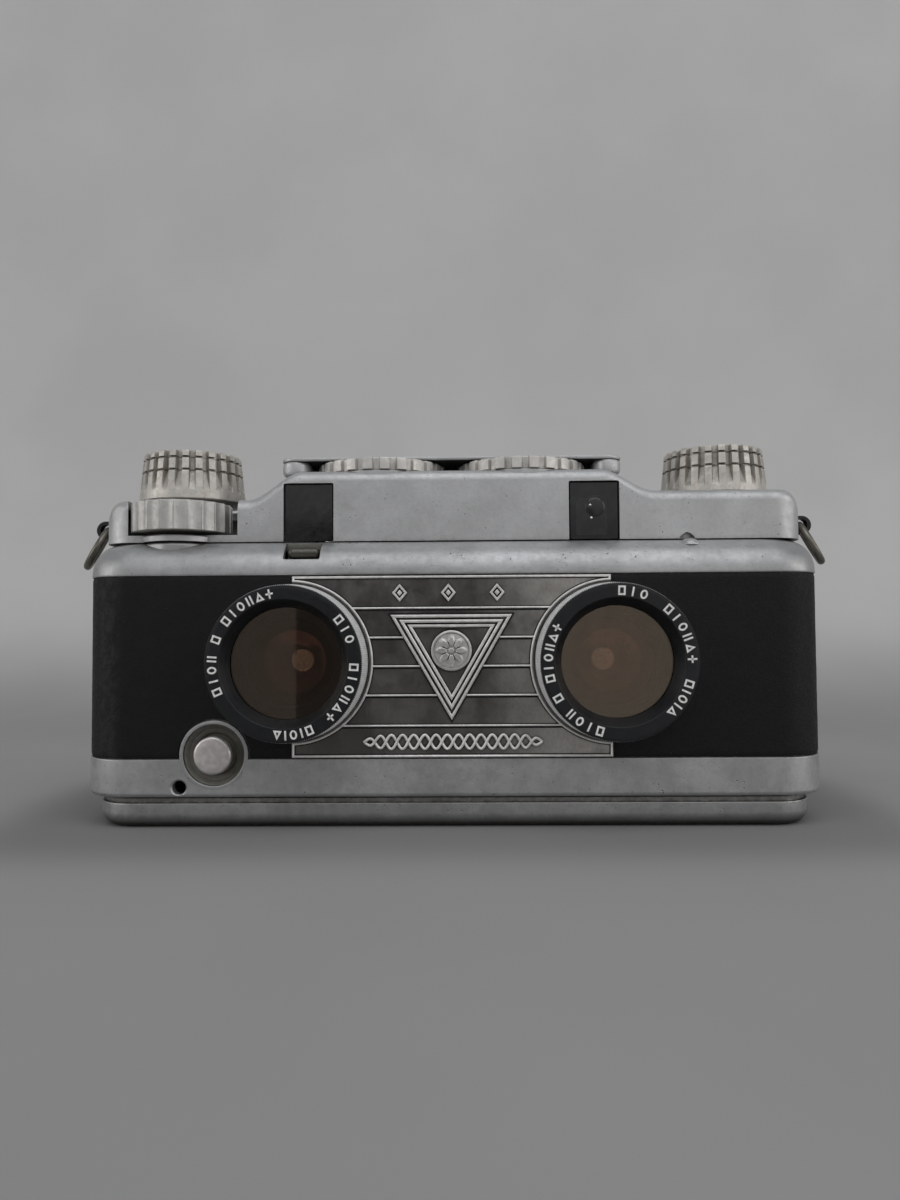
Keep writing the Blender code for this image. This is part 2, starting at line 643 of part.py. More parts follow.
def film_sprocket():
    """Drum with two rows of eight teeth, between the two film apertures."""
    drum = [(0, 57.5), (2.0, 57.5), (2.0, 54.0), (6.05, 54.0), (6.05, 48.5), (4.4, 48.5),
            (4.4, 23.5), (6.05, 23.5), (6.05, 18.0), (2.0, 18.0), (2.0, 14.5), (0, 14.5)]
    body = turned("film_sprocket", drum, (0, SPROCKET_Y, 0), "Z", "steel", 16)
    mesh = bpy.data.meshes.new("sprocket_teeth")
    bm = bmesh.new()
    for height in (51.3, 20.7):
        for i in range(8):
            turn = Matrix.Rotation(math.radians(45 * i + 22.5), 4, "Z")
            size = Matrix.Diagonal((2.0 * MM, 1.1 * MM, 1.8 * MM, 1.0))
            place = Matrix.Translation((0, SPROCKET_Y * MM, height * MM)) @ turn
            bmesh.ops.create_cube(bm, size=1.0,
                                  matrix=place @ Matrix.Translation((5.8 * MM, 0, 0)) @ size)
    bm.to_mesh(mesh)
    bm.free()
    boolean(body, add("sprocket_teeth", mesh), "UNION")


def dials():
    for name, side in (("speed_dial", -1), ("aperture_dial", 1)):
        x = side * DIAL_X
        place = pivot(name + "_axis", x, DIAL_Y, DIAL_LOW)
        outline = fluted_outline(x, DIAL_Y, DIAL_R, 0.5, DIAL_FLUTES, 3)
        dial = flat(name, [outline], DIAL_LOW, DIAL_TOP, "Z", "knob_metal")
        post = cylinder(name + "_post", 2.0, (x, DIAL_Y, 72), (x, DIAL_Y, DIAL_LOW + 1), sides=20)
        boolean(dial, post, "UNION")
        hold(dial, place)


def dial_bridge():
    """The thin plate over both dials, on a rounded foot at each end."""
    front, rear = BRIDGE_FRONT + FOOT_R, BRIDGE_REAR - FOOT_R
    outline = arc(FOOT_X, front, FOOT_R, 270, 360, 5)
    outline += arc(FOOT_X, rear, FOOT_R, 0, 90, 5)
    outline += arc(-FOOT_X, rear, FOOT_R, 90, 180, 5)
    outline += arc(-FOOT_X, front, FOOT_R, 180, 270, 5)
    plate = flat("dial_bridge", [outline], BRIDGE_LOW, BRIDGE_TOP, "Z", "satin_casting")
    for side in (-1, 1):
        x, radius = side * FOOT_X, FOOT_R - 0.05
        outline = arc(x, front, radius, 180, 360, 8) + arc(x, rear, radius, 0, 180, 8)
        foot = flat("bridge_foot_%+d" % side, [outline], HUMP_TOP + 0.35, BRIDGE_LOW + 0.4, "Z")
        boolean(plate, foot, "UNION")
    return plate


# ---- small fittings ---------------------------------------------------------------------
def shutter_release():
    x, z = BUTTON
    cup = [(RIM_R, 17.7), (RIM_R, 14.0), (2.4, 14.0), (2.4, 14.9), (DISH_R, 14.9), (DISH_R, 17.7)]
    turned("button_escutcheon", cup, (x, 0, z), "-Y", "steel", 32, True)
    stem = [(0, 19.0), (BUTTON_R - 0.5, 19.0), (BUTTON_R, 18.5), (BUTTON_R, 17.2), (2.0, 17.2),
            (2.0, 9.5), (0, 9.5)]
    place = pivot("button_slide", x, -17.2, z)
    hold(turned("shutter_button", stem, (x, 0, z), "-Y", "button_metal", 24), place)
    x, z = SOCKET
    bush = [(2.4, 15.2), (2.4, 10.0), (SOCKET_R, 10.0), (SOCKET_R, 15.2)]
    turned("cable_socket", bush, (x, 0, z), "-Y", "steel", 16, True)


def windows():
    for name, side in (("viewfinder_window", -1), ("rangefinder_window", 1)):
        half = WINDOW_W / 2 - GAP
        box(name, (side * WINDOW_X - half, -10.6, COVER_LOW + 0.1),
            (side * WINDOW_X + half, -9.8, WINDOW_TOP - GAP), "dark_glass")
    cylinder("level_vial", 1.25, (NOTCH[0] + 0.5, -13.7, 60.15), (NOTCH[1] - 0.5, -13.7, 60.15),
             "clear_glass", 20)
    x, z = -WINDOW_X, 69.5
    ring = [(6.2, -22.65), (6.2, -25.2), (5.6, -25.75), (4.3, -25.75), (3.4, -24.6), (3.4, -19.0),
            (4.9, -19.0), (4.9, -22.65)]
    turned("eyepiece_ring", ring, (x, 0, z), "-Y", "black_metal", 24, True)
    lens = [(0, -22.0), (3.1, -22.0), (3.1, -23.0), (0, -23.6)]
    turned("eyepiece_lens", lens, (x, 0, z), "-Y", "clear_glass", 24)
    box("beam_splitter", (x - 4, 2, z - 4), (x + 4, 10, z + 4), "clear_glass")
    mirror = flat("finder_mirror", [[(28.2, -3.2), (28.8, -3.8), (36.4, 3.8), (35.8, 4.4)]],
                  z - 4, z + 4, "Z", "chrome")
    return mirror


def strap_fittings():
    for side, tag in ((-1, "left"), (1, "right")):
        tip = 2.2
        outline = [(side * (COVER_HALF + GAP), LUG_Z - 2.2)]
        curve = arc(LUG_TIP - tip, LUG_Z, tip, -90, 90, 8)
        outline += [(side * px, pz) for px, pz in curve] + [(side * (COVER_HALF + GAP), LUG_Z + 2.2)]
        hole = [(side * px, pz) for px, pz in arc(LUG_HOLE_X, LUG_Z, LUG_HOLE_R, 0, 337.5, 15)]
        flat("strap_lug_" + tag, [outline, hole], LUG_Y - 1.0, LUG_Y + 1.0, "Y", "black_metal")
        place = pivot("strap_pivot_" + tag, side * LUG_HOLE_X, LUG_Y, LUG_Z)
        mesh = bpy.data.meshes.new("strap_ring_" + tag)
        ring = add(mesh.name, strap_ring_mesh(mesh, side), "ring_steel", smooth=60)
        hold(ring, place)


def strap_ring_mesh(mesh, side):
    """A wire ring that hangs from the lug's hole and leans on the shoulder."""
    around, section = 24, 6
    bm = bmesh.new()
    down = Vector((side * math.sin(RING_LEAN), 0, -math.cos(RING_LEAN)))
    rearward = Vector((0, 1, 0))
    outward = down.cross(rearward) * side
    across = rearward * math.cos(RING_TURN) + outward * math.sin(RING_TURN)
    normal = down.cross(across)
    centre = Vector((side * LUG_HOLE_X, LUG_Y, LUG_Z)) + down * RING_R
    loops = []
    for i in range(around):
        angle = 2 * math.pi * i / around
        spoke = down * math.cos(angle) + across * math.sin(angle)
        loop = []
        for j in range(section):
            turn = 2 * math.pi * j / section
            offset = spoke * math.cos(turn) + normal * math.sin(turn)
            loop.append(bm.verts.new((centre + spoke * RING_R + offset * RING_WIRE) * MM))
        loops.append(loop)
    for i in range(around):
        here, following = loops[i], loops[(i + 1) % around]
        for j in range(section):
            k = (j + 1) % section
            bm.faces.new((here[j], here[k], following[k], following[j]))
    bmesh.ops.recalc_face_normals(bm, faces=bm.faces)
    bm.to_mesh(mesh)
    bm.free()
    return mesh


# ---- film path and base fittings ------------------------------------------------------------
def film_path(back_pivot):
    for side, tag in ((-1, "left"), (1, "right")):
        x = side * LENS_X
        outer = rectangle(x - 15.5, LENS_Z - 16.5, x + 15.5, LENS_Z + 16.5)
        inner = rectangle(x - 13.2, LENS_Z - 14.2, x + 13.2, LENS_Z + 14.2)
        flat("light_tunnel_" + tag, [outer, inner], -2.3, GATE_Y[0] - GAP, "Y", "inner_black")
    frames = [rectangle(s * LENS_X - APERTURE[0] / 2, LENS_Z - APERTURE[1] / 2,
                        s * LENS_X + APERTURE[0] / 2, LENS_Z + APERTURE[1] / 2) for s in (-1, 1)]
    slot = rectangle(-6.2, FILM_Z_LOW - 1.0, 6.2, FILM_Z_TOP + 1.0)
    flat("film_gate", [rectangle(-50, 15, 50, 57)] + frames + [slot], *GATE_Y, "Y", "inner_black")
    hold(box("pressure_plate", (-49, 17.2, 19), (49, 18.2, 53), "black_metal"), back_pivot)
    for side, tag in ((-1, "left"), (1, "right")):
        x = side * 25.0
        outer = arc(x, 4.5, 16.2, 120, 60, 8)
        inner = arc(x, 4.5, 15.8, 60, 120, 8)
        strip = flat("pressure_spring_" + tag, [outer + inner], LENS_Z - 3, LENS_Z + 3, "Z", "steel")
        hold(strip, back_pivot)


def base_fittings(back_pivot):
    bush = [(8.0, 5.2), (8.0, 0.0), (3.2, 0.0), (3.2, 4.7), (0, 4.7)]
    hold(turned("tripod_bush", [(0, 5.2)] + bush, (0, 0, 0), "Z", "steel", 32), back_pivot)
    for side, tag in ((-1, "left"), (1, "right")):
        x = side * KEY_X
        place = pivot("key_axis_" + tag, x, 0, 1.0)
        hold(place, back_pivot)
        key = cylinder("lock_key_" + tag, 8.0, (x, 0, 0.9), (x, 0, 2.6), "steel")
        boolean(key, box("key_grip_" + tag, (x - 6.5, -1.3, 0.15), (x + 6.5, 1.3, 1.4)), "UNION")
        boolean(key, box("key_cam_" + tag, (x - 9, -2, 2.0), (x + 9, 2, 3.8)), "UNION")
        hold(key, place)


def build():
    clear_scene()
    back = pivot("back_slide", 0, SEAM_Y, BODY_LOW)
    front_casting()
    top_cover()
    back_and_base(back)
    leather_panels(back)
    nameplate()
    optics()
    focus_group()
    wind_group()
    rewind_group()
    film_sprocket()
    dials()
    dial_bridge()
    shutter_release()
    windows()
    strap_fittings()
    film_path(back)
    base_fittings(back)


build()
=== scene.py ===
"""Looks of the vintage stereo camera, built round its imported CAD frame.

Outlines are written in millimetres in the CAD frame: X to the viewer's right, the
lenses face -Y, Z up, origin on the floor under the middle.
"""
import math

import bmesh
import bpy
from mathutils import Matrix, Vector, noise


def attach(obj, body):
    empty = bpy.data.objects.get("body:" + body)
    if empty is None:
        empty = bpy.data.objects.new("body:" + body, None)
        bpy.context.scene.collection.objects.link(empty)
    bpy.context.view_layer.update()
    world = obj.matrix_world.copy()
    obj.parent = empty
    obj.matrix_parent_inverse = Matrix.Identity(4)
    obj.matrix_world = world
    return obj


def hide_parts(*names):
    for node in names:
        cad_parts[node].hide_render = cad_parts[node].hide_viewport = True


MM = 0.001
TINY = 0.02                     # radius that stands for a point on an axis

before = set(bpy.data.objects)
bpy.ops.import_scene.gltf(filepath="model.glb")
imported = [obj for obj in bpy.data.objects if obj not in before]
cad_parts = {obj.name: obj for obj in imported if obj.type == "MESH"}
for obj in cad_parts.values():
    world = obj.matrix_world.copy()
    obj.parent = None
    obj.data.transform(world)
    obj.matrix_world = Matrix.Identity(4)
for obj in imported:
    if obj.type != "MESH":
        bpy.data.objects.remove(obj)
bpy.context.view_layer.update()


# ---- dimensions shared with the CAD model, mm -----------------------------------
LENS_X, LENS_Z = 35.0, 36.0
FRONT_Y, SEAM_Y, BACK_Y = -17.5, 10.0, 22.95
BODY_HALF, CORNER_R, REAR_CORNER_R = 82.5, 11.0, 9.0
BODY_LOW, SHOULDER_Z, BODY_TOP = 6.7, 55.5, 62.8
SHOULDER_IN_X, SHOULDER_IN_Y = 2.5, 6.5
PANEL_LOW, PANEL_TOP, PANEL_DEPTH = 15.1, 55.0, 0.8
COVER_HALF, COVER_FRONT, COVER_REAR, COVER_LOW = 80.3, -11.0, 22.3, 63.1
DECK_RIGHT, DECK_LEFT, HUMP_TOP = 74.4, 73.0, 79.4
RAMP_INNER, RAMP_OUTER = 34.0, 46.5
TRAY_HALF, TRAY_TOP, TRAY_FRONT, TRAY_REAR = 79.4, 5.5, -16.7, 22.2
LIP_IN, LIP_TOP = 0.75, 6.45
CAVITY_LOW, CAVITY_TOP = 4.7, 60.8
PLATE_HALF, PLATE_ARC_R = 34.68, 17.48
FILTER_R, FILTER_FRONT, GLASS_R = 16.56, 25.75, 11.85
WHEEL, WHEEL_R, WHEEL_LOW, WHEEL_TOP = (-62.7, -6.0), 11.3, 65.5, 72.2
KNOB_X, KNOB_Y, KNOB_LOW, KNOB_TOP = 64.9, 8.5, 75.0, 86.2
KNOB_BASE_R, KNOB_TOP_R, BORE_R = 12.8, 11.65, 1.8
LEFT_SKIRT = 74.4               # the left knob's skirt comes closer to its lower deck
DIAL_X, DIAL_Y, DIAL_R, DIAL_LOW, DIAL_TOP = 17.0, 4.5, 15.3, 79.47, 82.4
BRIDGE_LOW, BRIDGE_TOP, FOOT_X, FOOT_R = 82.75, 83.6, 36.85, 3.35
BRIDGE_FRONT, BRIDGE_REAR = -4.5, 15.0
BUTTON, BUTTON_R, DISH_R, RIM_R = (-51.8, 16.0), 4.15, 6.7, 7.5
SOCKET, SOCKET_R = (-59.4, 8.95), 1.52
WINDOW_X, WINDOW_W, WINDOW_TOP = 32.35, 11.4, 76.4
NOTCH, NOTCH_LOW = (-36.93, -28.86), 58.55
LUG_Y, LUG_Z, LUG_TIP, LUG_HOLE_X, LUG_HOLE_R = 0.5, 67.25, 85.4, 82.9, 1.5
RING_R, RING_WIRE, RING_LEAN, RING_TURN = 4.9, 0.9, math.radians(30), math.radians(20)
KEY_X = 55.0


# ---- camera and light --------------------------------------------------------------
EYE = (2.514, -198.43, 42.871)
EYE_TURN = (-0.873, -2.055, -0.361)     # yaw, pitch and roll, degrees
# the point that the cloth's painted light and shadow are graded from
CLOTH_BACK, CLOTH_UP = 198.0, 43.0      # the cloth is graded as it looks from this far away and up


def place_camera():
    """A close view, level with the middle of the object and a little to its right."""
    yaw, pitch, roll = (math.radians(a) for a in EYE_TURN)
    turn = (Matrix.Rotation(roll, 3, "Y") @ Matrix.Rotation(pitch, 3, "X")
            @ Matrix.Rotation(yaw, 3, "Z"))
    right, forward, up = turn[0], turn[1], turn[2]
    data = bpy.data.cameras.new("photo_camera")
    data.lens, data.sensor_width, data.clip_start = 24.96, 36.0, 0.01
    obj = bpy.data.objects.new("photo_camera", data)
    bpy.context.scene.collection.objects.link(obj)
    matrix = Matrix((right, up, -forward)).transposed().to_4x4()
    matrix.translation = Vector(EYE) * MM
    obj.matrix_world = matrix
    bpy.context.scene.camera = obj


def area_light(name, place, aim, size, power, colour):
    data = bpy.data.lights.new(name, "AREA")
    data.shape, data.size, data.size_y = "RECTANGLE", size[0], size[1]
    data.energy, data.color = power, colour
    obj = bpy.data.objects.new(name, data)
    bpy.context.scene.collection.objects.link(obj)
    obj.location = place
    obj.rotation_euler = (Vector(aim) - Vector(place)).to_track_quat("-Z", "Y").to_euler()


# ---- node materials ----------------------------------------------------------------
class Finish:
    """A procedural material; its pattern is fixed to the piece, measured in mm."""

    def __init__(self, name):
        self.material = bpy.data.materials.new(name)
        self.material.use_nodes = True
        self.tree = self.material.node_tree
        self.shader = self.tree.nodes["Principled BSDF"]
        coords = self.node("ShaderNodeTexCoord").outputs["Object"]
        scaled = self.node("ShaderNodeVectorMath", {0: coords, 1: (1000.0,) * 3},
                           operation="MULTIPLY")
        self.mm = scaled.outputs[0]
        self.axes = self.node("ShaderNodeSeparateXYZ", {0: self.mm}).outputs
        self.relief = None

    def node(self, kind, inputs=None, **settings):
        made = self.tree.nodes.new(kind)
        for key, value in settings.items():
            setattr(made, key, value)
        for key, value in (inputs or {}).items():
            if isinstance(value, bpy.types.NodeSocket):
                self.tree.links.new(value, made.inputs[key])
            else:
                made.inputs[key].default_value = value
        return made

    def noise(self, scale, detail=3.0, rough=0.55, factors=None):
        vector = self.mm
        if factors:
            vector = self.node("ShaderNodeVectorMath", {0: self.mm, 1: factors},
                               operation="MULTIPLY").outputs[0]
        return self.node("ShaderNodeTexNoise", {"Vector": vector, "Scale": scale, "Detail": detail,
                                                "Roughness": rough}).outputs["Fac"]

    def cells(self, scale, feature="F1"):
        return self.node("ShaderNodeTexVoronoi", {"Vector": self.mm, "Scale": scale},
                         feature=feature).outputs["Distance"]

    def specks(self, scale, size, patch, share, detail=3.0, peak=1.0):
        """Small round specks that come in patches."""
        return self.times(self.ramp(self.cells(scale), *size, peak, 0.0),
                          self.ramp(self.noise(patch, detail), *share))

    def ramp(self, value, low, high, to_low=0.0, to_high=1.0):
        return self.node("ShaderNodeMapRange",
                         {"Value": value, "From Min": low, "From Max": high,
                          "To Min": to_low, "To Max": to_high},
                         interpolation_type="SMOOTHSTEP").outputs[0]

    def math(self, operation, a, b=0.0):
        return self.node("ShaderNodeMath", {0: a, 1: b}, operation=operation).outputs[0]

    def times(self, a, b):
        return self.math("MULTIPLY", a, b)

    def mix(self, factor, a, b):
        a = a if isinstance(a, bpy.types.NodeSocket) else (*a, 1.0)
        b = b if isinstance(b, bpy.types.NodeSocket) else (*b, 1.0)
        return self.node("ShaderNodeMixRGB", {"Fac": factor, "Color1": a,
                                              "Color2": b}).outputs[0]

    def crevice(self, distance, low=0.35, high=0.95):
        """1 deep in a corner or groove, 0 in the open: from occlusion, so it paints shade into the
        hollows.
        """
        hidden = self.node("ShaderNodeAmbientOcclusion", {"Distance": distance * MM},
                           samples=6).outputs["AO"]
        return self.ramp(hidden, low, high, 1.0, 0.0)

    def attribute(self, name):
        return self.node("ShaderNodeAttribute", attribute_name=name).outputs["Fac"]

    def put(self, **values):
        for key, value in values.items():
            socket = self.shader.inputs[key.replace("_", " ")]
            if isinstance(value, bpy.types.NodeSocket):
                self.tree.links.new(value, socket)
            elif isinstance(value, tuple):
                socket.default_value = (*value, 1.0)
            else:
                socket.default_value = value
        return self

    def bump(self, height, depth, strength):
        """Add a relief of the given depth in mm to the surface."""
        inputs = {"Height": height, "Distance": depth * MM, "Strength": strength}
        if self.relief is not None:
            inputs["Normal"] = self.relief
        self.relief = self.node("ShaderNodeBump", inputs).outputs["Normal"]
        self.tree.links.new(self.relief, self.shader.inputs["Normal"])


def cast_metal(name, light, dark, rough=0.42, metallic=0.85, pits=1.0, grime_and_shade=1.0, floor_shade=0.0):
    """Satin die-cast alloy: cloudy, pitted, with grime and painted shade in corners, and painted shade
    near the floor.
    """
    f = Finish(name)
    cloud = f.ramp(f.noise(0.09, 4.0), 0.35, 0.7)
    colour = f.mix(cloud, dark, light)
    mottled = f.ramp(f.noise(1.1, 5.0, 0.7), 0.42, 0.68, 0.0, 0.20)
    colour = f.mix(mottled, colour, tuple(0.62 * c for c in dark))
    coarse = f.specks(0.75, (0.05, 0.16), 0.22, (0.5, 0.66))
    fine = f.specks(1.9, (0.08, 0.20), 0.35, (0.5, 0.62), 2.0, 0.75)
    pitting = f.times(f.math("MAXIMUM", coarse, fine), pits)
    colour = f.mix(pitting, colour, (0.055, 0.050, 0.045))
    stain = f.times(f.ramp(f.noise(0.16, 5.0, 0.65), 0.62, 0.76), 0.13)
    colour = f.mix(stain, colour, (0.26, 0.20, 0.14))
    # corners darkened from occlusion, in patches: grime plus painted shade
    corner = f.times(f.crevice(1.6, 0.45, 0.97), f.ramp(f.noise(0.8, 4.0), 0.25, 0.65, 0.45, 1.0))
    corner = f.times(corner, 0.75 * grime_and_shade)
    colour = f.mix(corner, colour, (0.085, 0.07, 0.055))
    # painted shade: the colour darkens towards the floor, at the very bottom of the piece
    if floor_shade:
        colour = f.mix(f.ramp(f.axes["Z"], 0.3, 3.6, floor_shade, 0.0), colour, (0.05, 0.047, 0.044))
    roughness = f.ramp(f.noise(0.6, 4.0), 0.3, 0.75, rough - 0.07, rough + 0.12)
    f.put(Base_Color=colour, Metallic=metallic, Roughness=roughness)
    f.bump(f.noise(2.6, 4.0, 0.6), 0.030, 0.55)
    f.bump(pitting, -0.10, 0.8)
    f.bump(f.noise(0.12, 2.0), 0.10, 0.5)
    return f.material


def leather(name):
    f = Finish(name)
    # a band on the curved left corner, lighter in patches: wear plus a painted highlight on the curve
    band = f.times(f.ramp(f.axes["X"], -78.5, -76.5), f.ramp(f.axes["X"], -74.5, -71.5, 1.0, 0.0))
    worn = f.times(band, f.ramp(f.noise(0.5, 4.0), 0.35, 0.65))
    crease = f.ramp(f.cells(1.25, "DISTANCE_TO_EDGE"), 0.0, 0.16)
    colour = f.mix(f.ramp(f.noise(0.25, 4.0), 0.35, 0.7),
                   (0.0045, 0.0054, 0.0056), (0.0092, 0.0102, 0.0106))
    colour = f.mix(f.times(crease, 0.35), (0.004, 0.004, 0.005), colour)
    dust = f.specks(0.55, (0.03, 0.07), 0.3, (0.52, 0.62))
    colour = f.mix(f.times(dust, 0.35), colour, (0.20, 0.19, 0.18))
    scuff = f.times(f.ramp(f.noise(0.9, 6.0, 0.75, (1.0, 1.0, 2.5)), 0.62, 0.78), 0.16)
    colour = f.mix(scuff, colour, (0.09, 0.088, 0.085))
    # the corner band lightened: wear plus painted highlight
    colour = f.mix(f.times(worn, 0.25), colour, (0.05, 0.052, 0.055))
    f.put(Base_Color=colour, Roughness=f.ramp(f.noise(1.4, 3.0), 0.3, 0.7, 0.50, 0.66),
          Specular_IOR_Level=0.26)
    f.bump(crease, 0.055, 0.55)
    f.bump(f.noise(3.2, 3.0), 0.025, 0.5)
    f.bump(f.times(f.noise(1.1, 4.0, 0.6, (1.0, 1.0, 0.45)), band), 0.28, 0.8)
    return f.material


def pewter(name):
    """Antiqued plate: rubbed grey metal, lighter towards its right, with antique black and painted shade
    in every corner.
    """
    f = Finish(name)
    smear = f.noise(0.10, 4.0, 0.55, (1.3, 1.0, 0.6))
    colour = f.mix(f.ramp(smear, 0.38, 0.66), (0.135, 0.129, 0.123), (0.225, 0.217, 0.207))
    # lighter towards the right half, in patches
    light = f.times(f.ramp(f.axes["X"], 2.0, 27.0), f.ramp(f.noise(0.13, 3.0), 0.22, 0.55))
    colour = f.mix(f.times(light, 0.85), colour, (0.58, 0.555, 0.53))
    grain = f.ramp(f.noise(1.5, 3.0, 0.5, (1.0, 1.0, 0.7)), 0.35, 0.7, 0.0, 0.16)
    colour = f.mix(grain, colour, (0.10, 0.095, 0.09))
    # corners darkened from occlusion: antique black plus painted shade
    corner = f.crevice(0.7, 0.42, 0.93)
    colour = f.mix(corner, colour, (0.008, 0.0075, 0.007))
    f.put(Base_Color=colour, Metallic=0.9, Roughness=f.ramp(f.noise(0.3, 4.0), 0.35, 0.65, 0.30, 0.42))
    f.bump(f.noise(2.2, 4.0, 0.6), 0.014, 0.6)
    f.bump(f.noise(0.10, 2.0), 0.10, 0.5)
    return f.material


def polished(name, tone, rough, grime_and_shade=0.6, distance=0.5, metallic=1.0):
    f = Finish(name)
    colour = f.mix(f.ramp(f.noise(0.7, 4.0), 0.35, 0.7), tuple(0.82 * c for c in tone), tone)
    # hollows darkened from occlusion: grime plus painted shade
    colour = f.mix(f.times(f.crevice(distance, 0.35, 0.9), grime_and_shade), colour, (0.035, 0.03, 0.025))
    f.put(Base_Color=colour, Metallic=metallic,
          Roughness=f.ramp(f.noise(1.3, 4.0), 0.3, 0.7, rough, rough + 0.12))
    f.bump(f.noise(2.4, 3.0, 0.6), 0.005, 0.5)
    return f.material


def enamel(name, tone, rough, scratches=1.0):
    """Black paint with dust, rubbed patches and a few fine scratches."""
    f = Finish(name)
    colour = f.mix(f.ramp(f.noise(0.4, 4.0), 0.35, 0.7), tone, tuple(1.5 * c for c in tone))
    dust = f.specks(0.9, (0.04, 0.10), 0.5, (0.55, 0.66))
    colour = f.mix(f.times(dust, 0.3 * scratches), colour, (0.12, 0.12, 0.12))
    rub = f.times(f.ramp(f.noise(1.2, 6.0, 0.75, (0.4, 1.0, 1.6)), 0.66, 0.78), 0.25 * scratches)
    colour = f.mix(rub, colour, (0.10, 0.10, 0.10))
    f.put(Base_Color=colour, Roughness=f.ramp(f.noise(1.0, 4.0), 0.3, 0.7, rough - 0.06, rough + 0.1),
          Specular_IOR_Level=0.45)
    f.bump(f.noise(3.0, 3.0), 0.010, 0.5)
    return f.material


def grip_metal(name, tone, grime_and_shade=1.0):
    """Bright alloy of knobs and wheels: brown grime and painted shade kept in the grooves."""
    f = Finish(name)
    patch = f.noise(0.45, 5.0, 0.65)
    colour = f.mix(f.ramp(patch, 0.35, 0.68), tuple(0.78 * c for c in tone), tone)
    film = f.times(f.ramp(f.noise(0.9, 5.0, 0.7), 0.46, 0.68), 0.5 * grime_and_shade)
    colour = f.mix(film, colour, (0.30, 0.24, 0.18))
    # grooves and hollows darkened by the per-vertex mark and by occlusion: grime plus painted shade
    groove = f.times(f.attribute("hollow_grime_and_shade"), f.ramp(f.noise(0.7, 4.0), 0.3, 0.62, 0.35, 1.0))
    corner = f.math("MAXIMUM", f.times(groove, 0.8), f.times(f.crevice(0.8, 0.35, 0.85), 0.8))
    colour = f.mix(f.times(corner, grime_and_shade), colour, (0.10, 0.075, 0.05))
    pits = f.specks(1.5, (0.07, 0.18), 0.5, (0.48, 0.6))
    colour = f.mix(f.times(pits, 0.8), colour, (0.07, 0.055, 0.04))
    f.put(Base_Color=colour, Metallic=0.66, Roughness=f.ramp(f.noise(1.2, 4.0), 0.3, 0.7, 0.42, 0.58))
    f.bump(f.noise(2.4, 4.0, 0.6), 0.03, 0.6)
    f.bump(pits, -0.08, 0.8)
    return f.material


def glass(name, tint, cover, rough=0.04, metallic=1.0):
    """Coated optical glass: a tinted mirror film over what is seen through it."""
    f = Finish(name)
    film = f.ramp(f.noise(0.30, 4.0, 0.6), 0.35, 0.75)
    dust = f.specks(0.8, (0.03, 0.07), 0.45, (0.54, 0.62))
    colour = f.mix(f.times(film, 0.35), tint, tuple(0.72 * c for c in tint))
    f.put(Base_Color=f.mix(f.times(dust, 0.35), colour, (0.30, 0.26, 0.22)), Metallic=metallic,
          Alpha=f.math("MAXIMUM", f.times(dust, 0.8), cover),
          Roughness=f.ramp(f.noise(0.8, 4.0), 0.3, 0.75, rough, rough + 0.05))
    return f.material


def glow(name, colour, level):
    """A dim even light: a card in the room, or painted light standing in a lens."""
    return Finish(name).put(Base_Color=(0.0, 0.0, 0.0), Specular_IOR_Level=0.0,
                            Emission_Color=colour, Emission_Strength=level).material


def white_paint(name):
    f = Finish(name)
    colour = f.mix(f.ramp(f.noise(1.2, 4.0), 0.35, 0.65), (0.72, 0.72, 0.70), (0.92, 0.92, 0.90))
    f.put(Base_Color=colour, Roughness=0.6)
    f.bump(f.noise(4.0, 2.0), 0.01, 0.5)
    return f.material


def studio_cloth(name):
    """Pale cloth with painted light: lighter up the wall, and a painted shadow under and just in front
    of the object.
    """
    f = Finish(name)
    warmth = f.mix(f.ramp(f.noise(0.008, 3.0), 0.3, 0.7), (0.93, 0.925, 0.92), (1.0, 0.99, 0.98))
    # painted light: the cloth is graded lighter the higher it stands, as seen from CLOTH_BACK and
    # CLOTH_UP
    reach = f.math("MAXIMUM", f.math("ADD", f.axes["Y"], CLOTH_BACK), 50.0)
    drop = f.math("DIVIDE", f.math("SUBTRACT", CLOTH_UP, f.axes["Z"]), reach)
    # painted shadow: darker under and just in front of the object, fading beside it
    beside = f.ramp(f.math("ABSOLUTE", f.axes["X"]), 84.0, 120.0, 1.0, 0.0)
    along = f.times(f.ramp(f.axes["Y"], -62.0, -18.0), f.ramp(f.axes["Y"], 24.0, 80.0, 1.0, 0.0))
    near = f.times(along, beside)
    level = f.times(f.ramp(drop, -0.03, 0.11, 0.60, 0.375), f.ramp(near, 0.0, 1.0, 1.0, 0.68))
    shade = f.node("ShaderNodeCombineXYZ", {"X": level, "Y": level, "Z": level}).outputs[0]
    colour = f.node("ShaderNodeVectorMath", {0: warmth, 1: shade}, operation="MULTIPLY").outputs[0]
    f.put(Base_Color=colour, Roughness=0.95, Specular_IOR_Level=0.1)
    return f.material


# ---- mesh building -----------------------------------------------------------------
def smooth(low, high, value):
    t = max(0.0, min(1.0, (value - low) / (high - low)))
    return t * t * (3 - 2 * t)


def mesh_of(verts, faces, hollow_grime_and_shade=None):
    mesh = bpy.data.meshes.new("shape")
    mesh.from_pydata([Vector(v) * MM for v in verts], [], faces)
    if hollow_grime_and_shade is not None:
        # per-vertex grime and painted shade, used by the grip metals
        mesh.attributes.new("hollow_grime_and_shade", "FLOAT", "POINT").data.foreach_set("value", hollow_grime_and_shade)
    bm = bmesh.new()
    bm.from_mesh(mesh)
    bmesh.ops.recalc_face_normals(bm, faces=bm.faces)
    bm.to_mesh(mesh)
    bm.free()
    return mesh


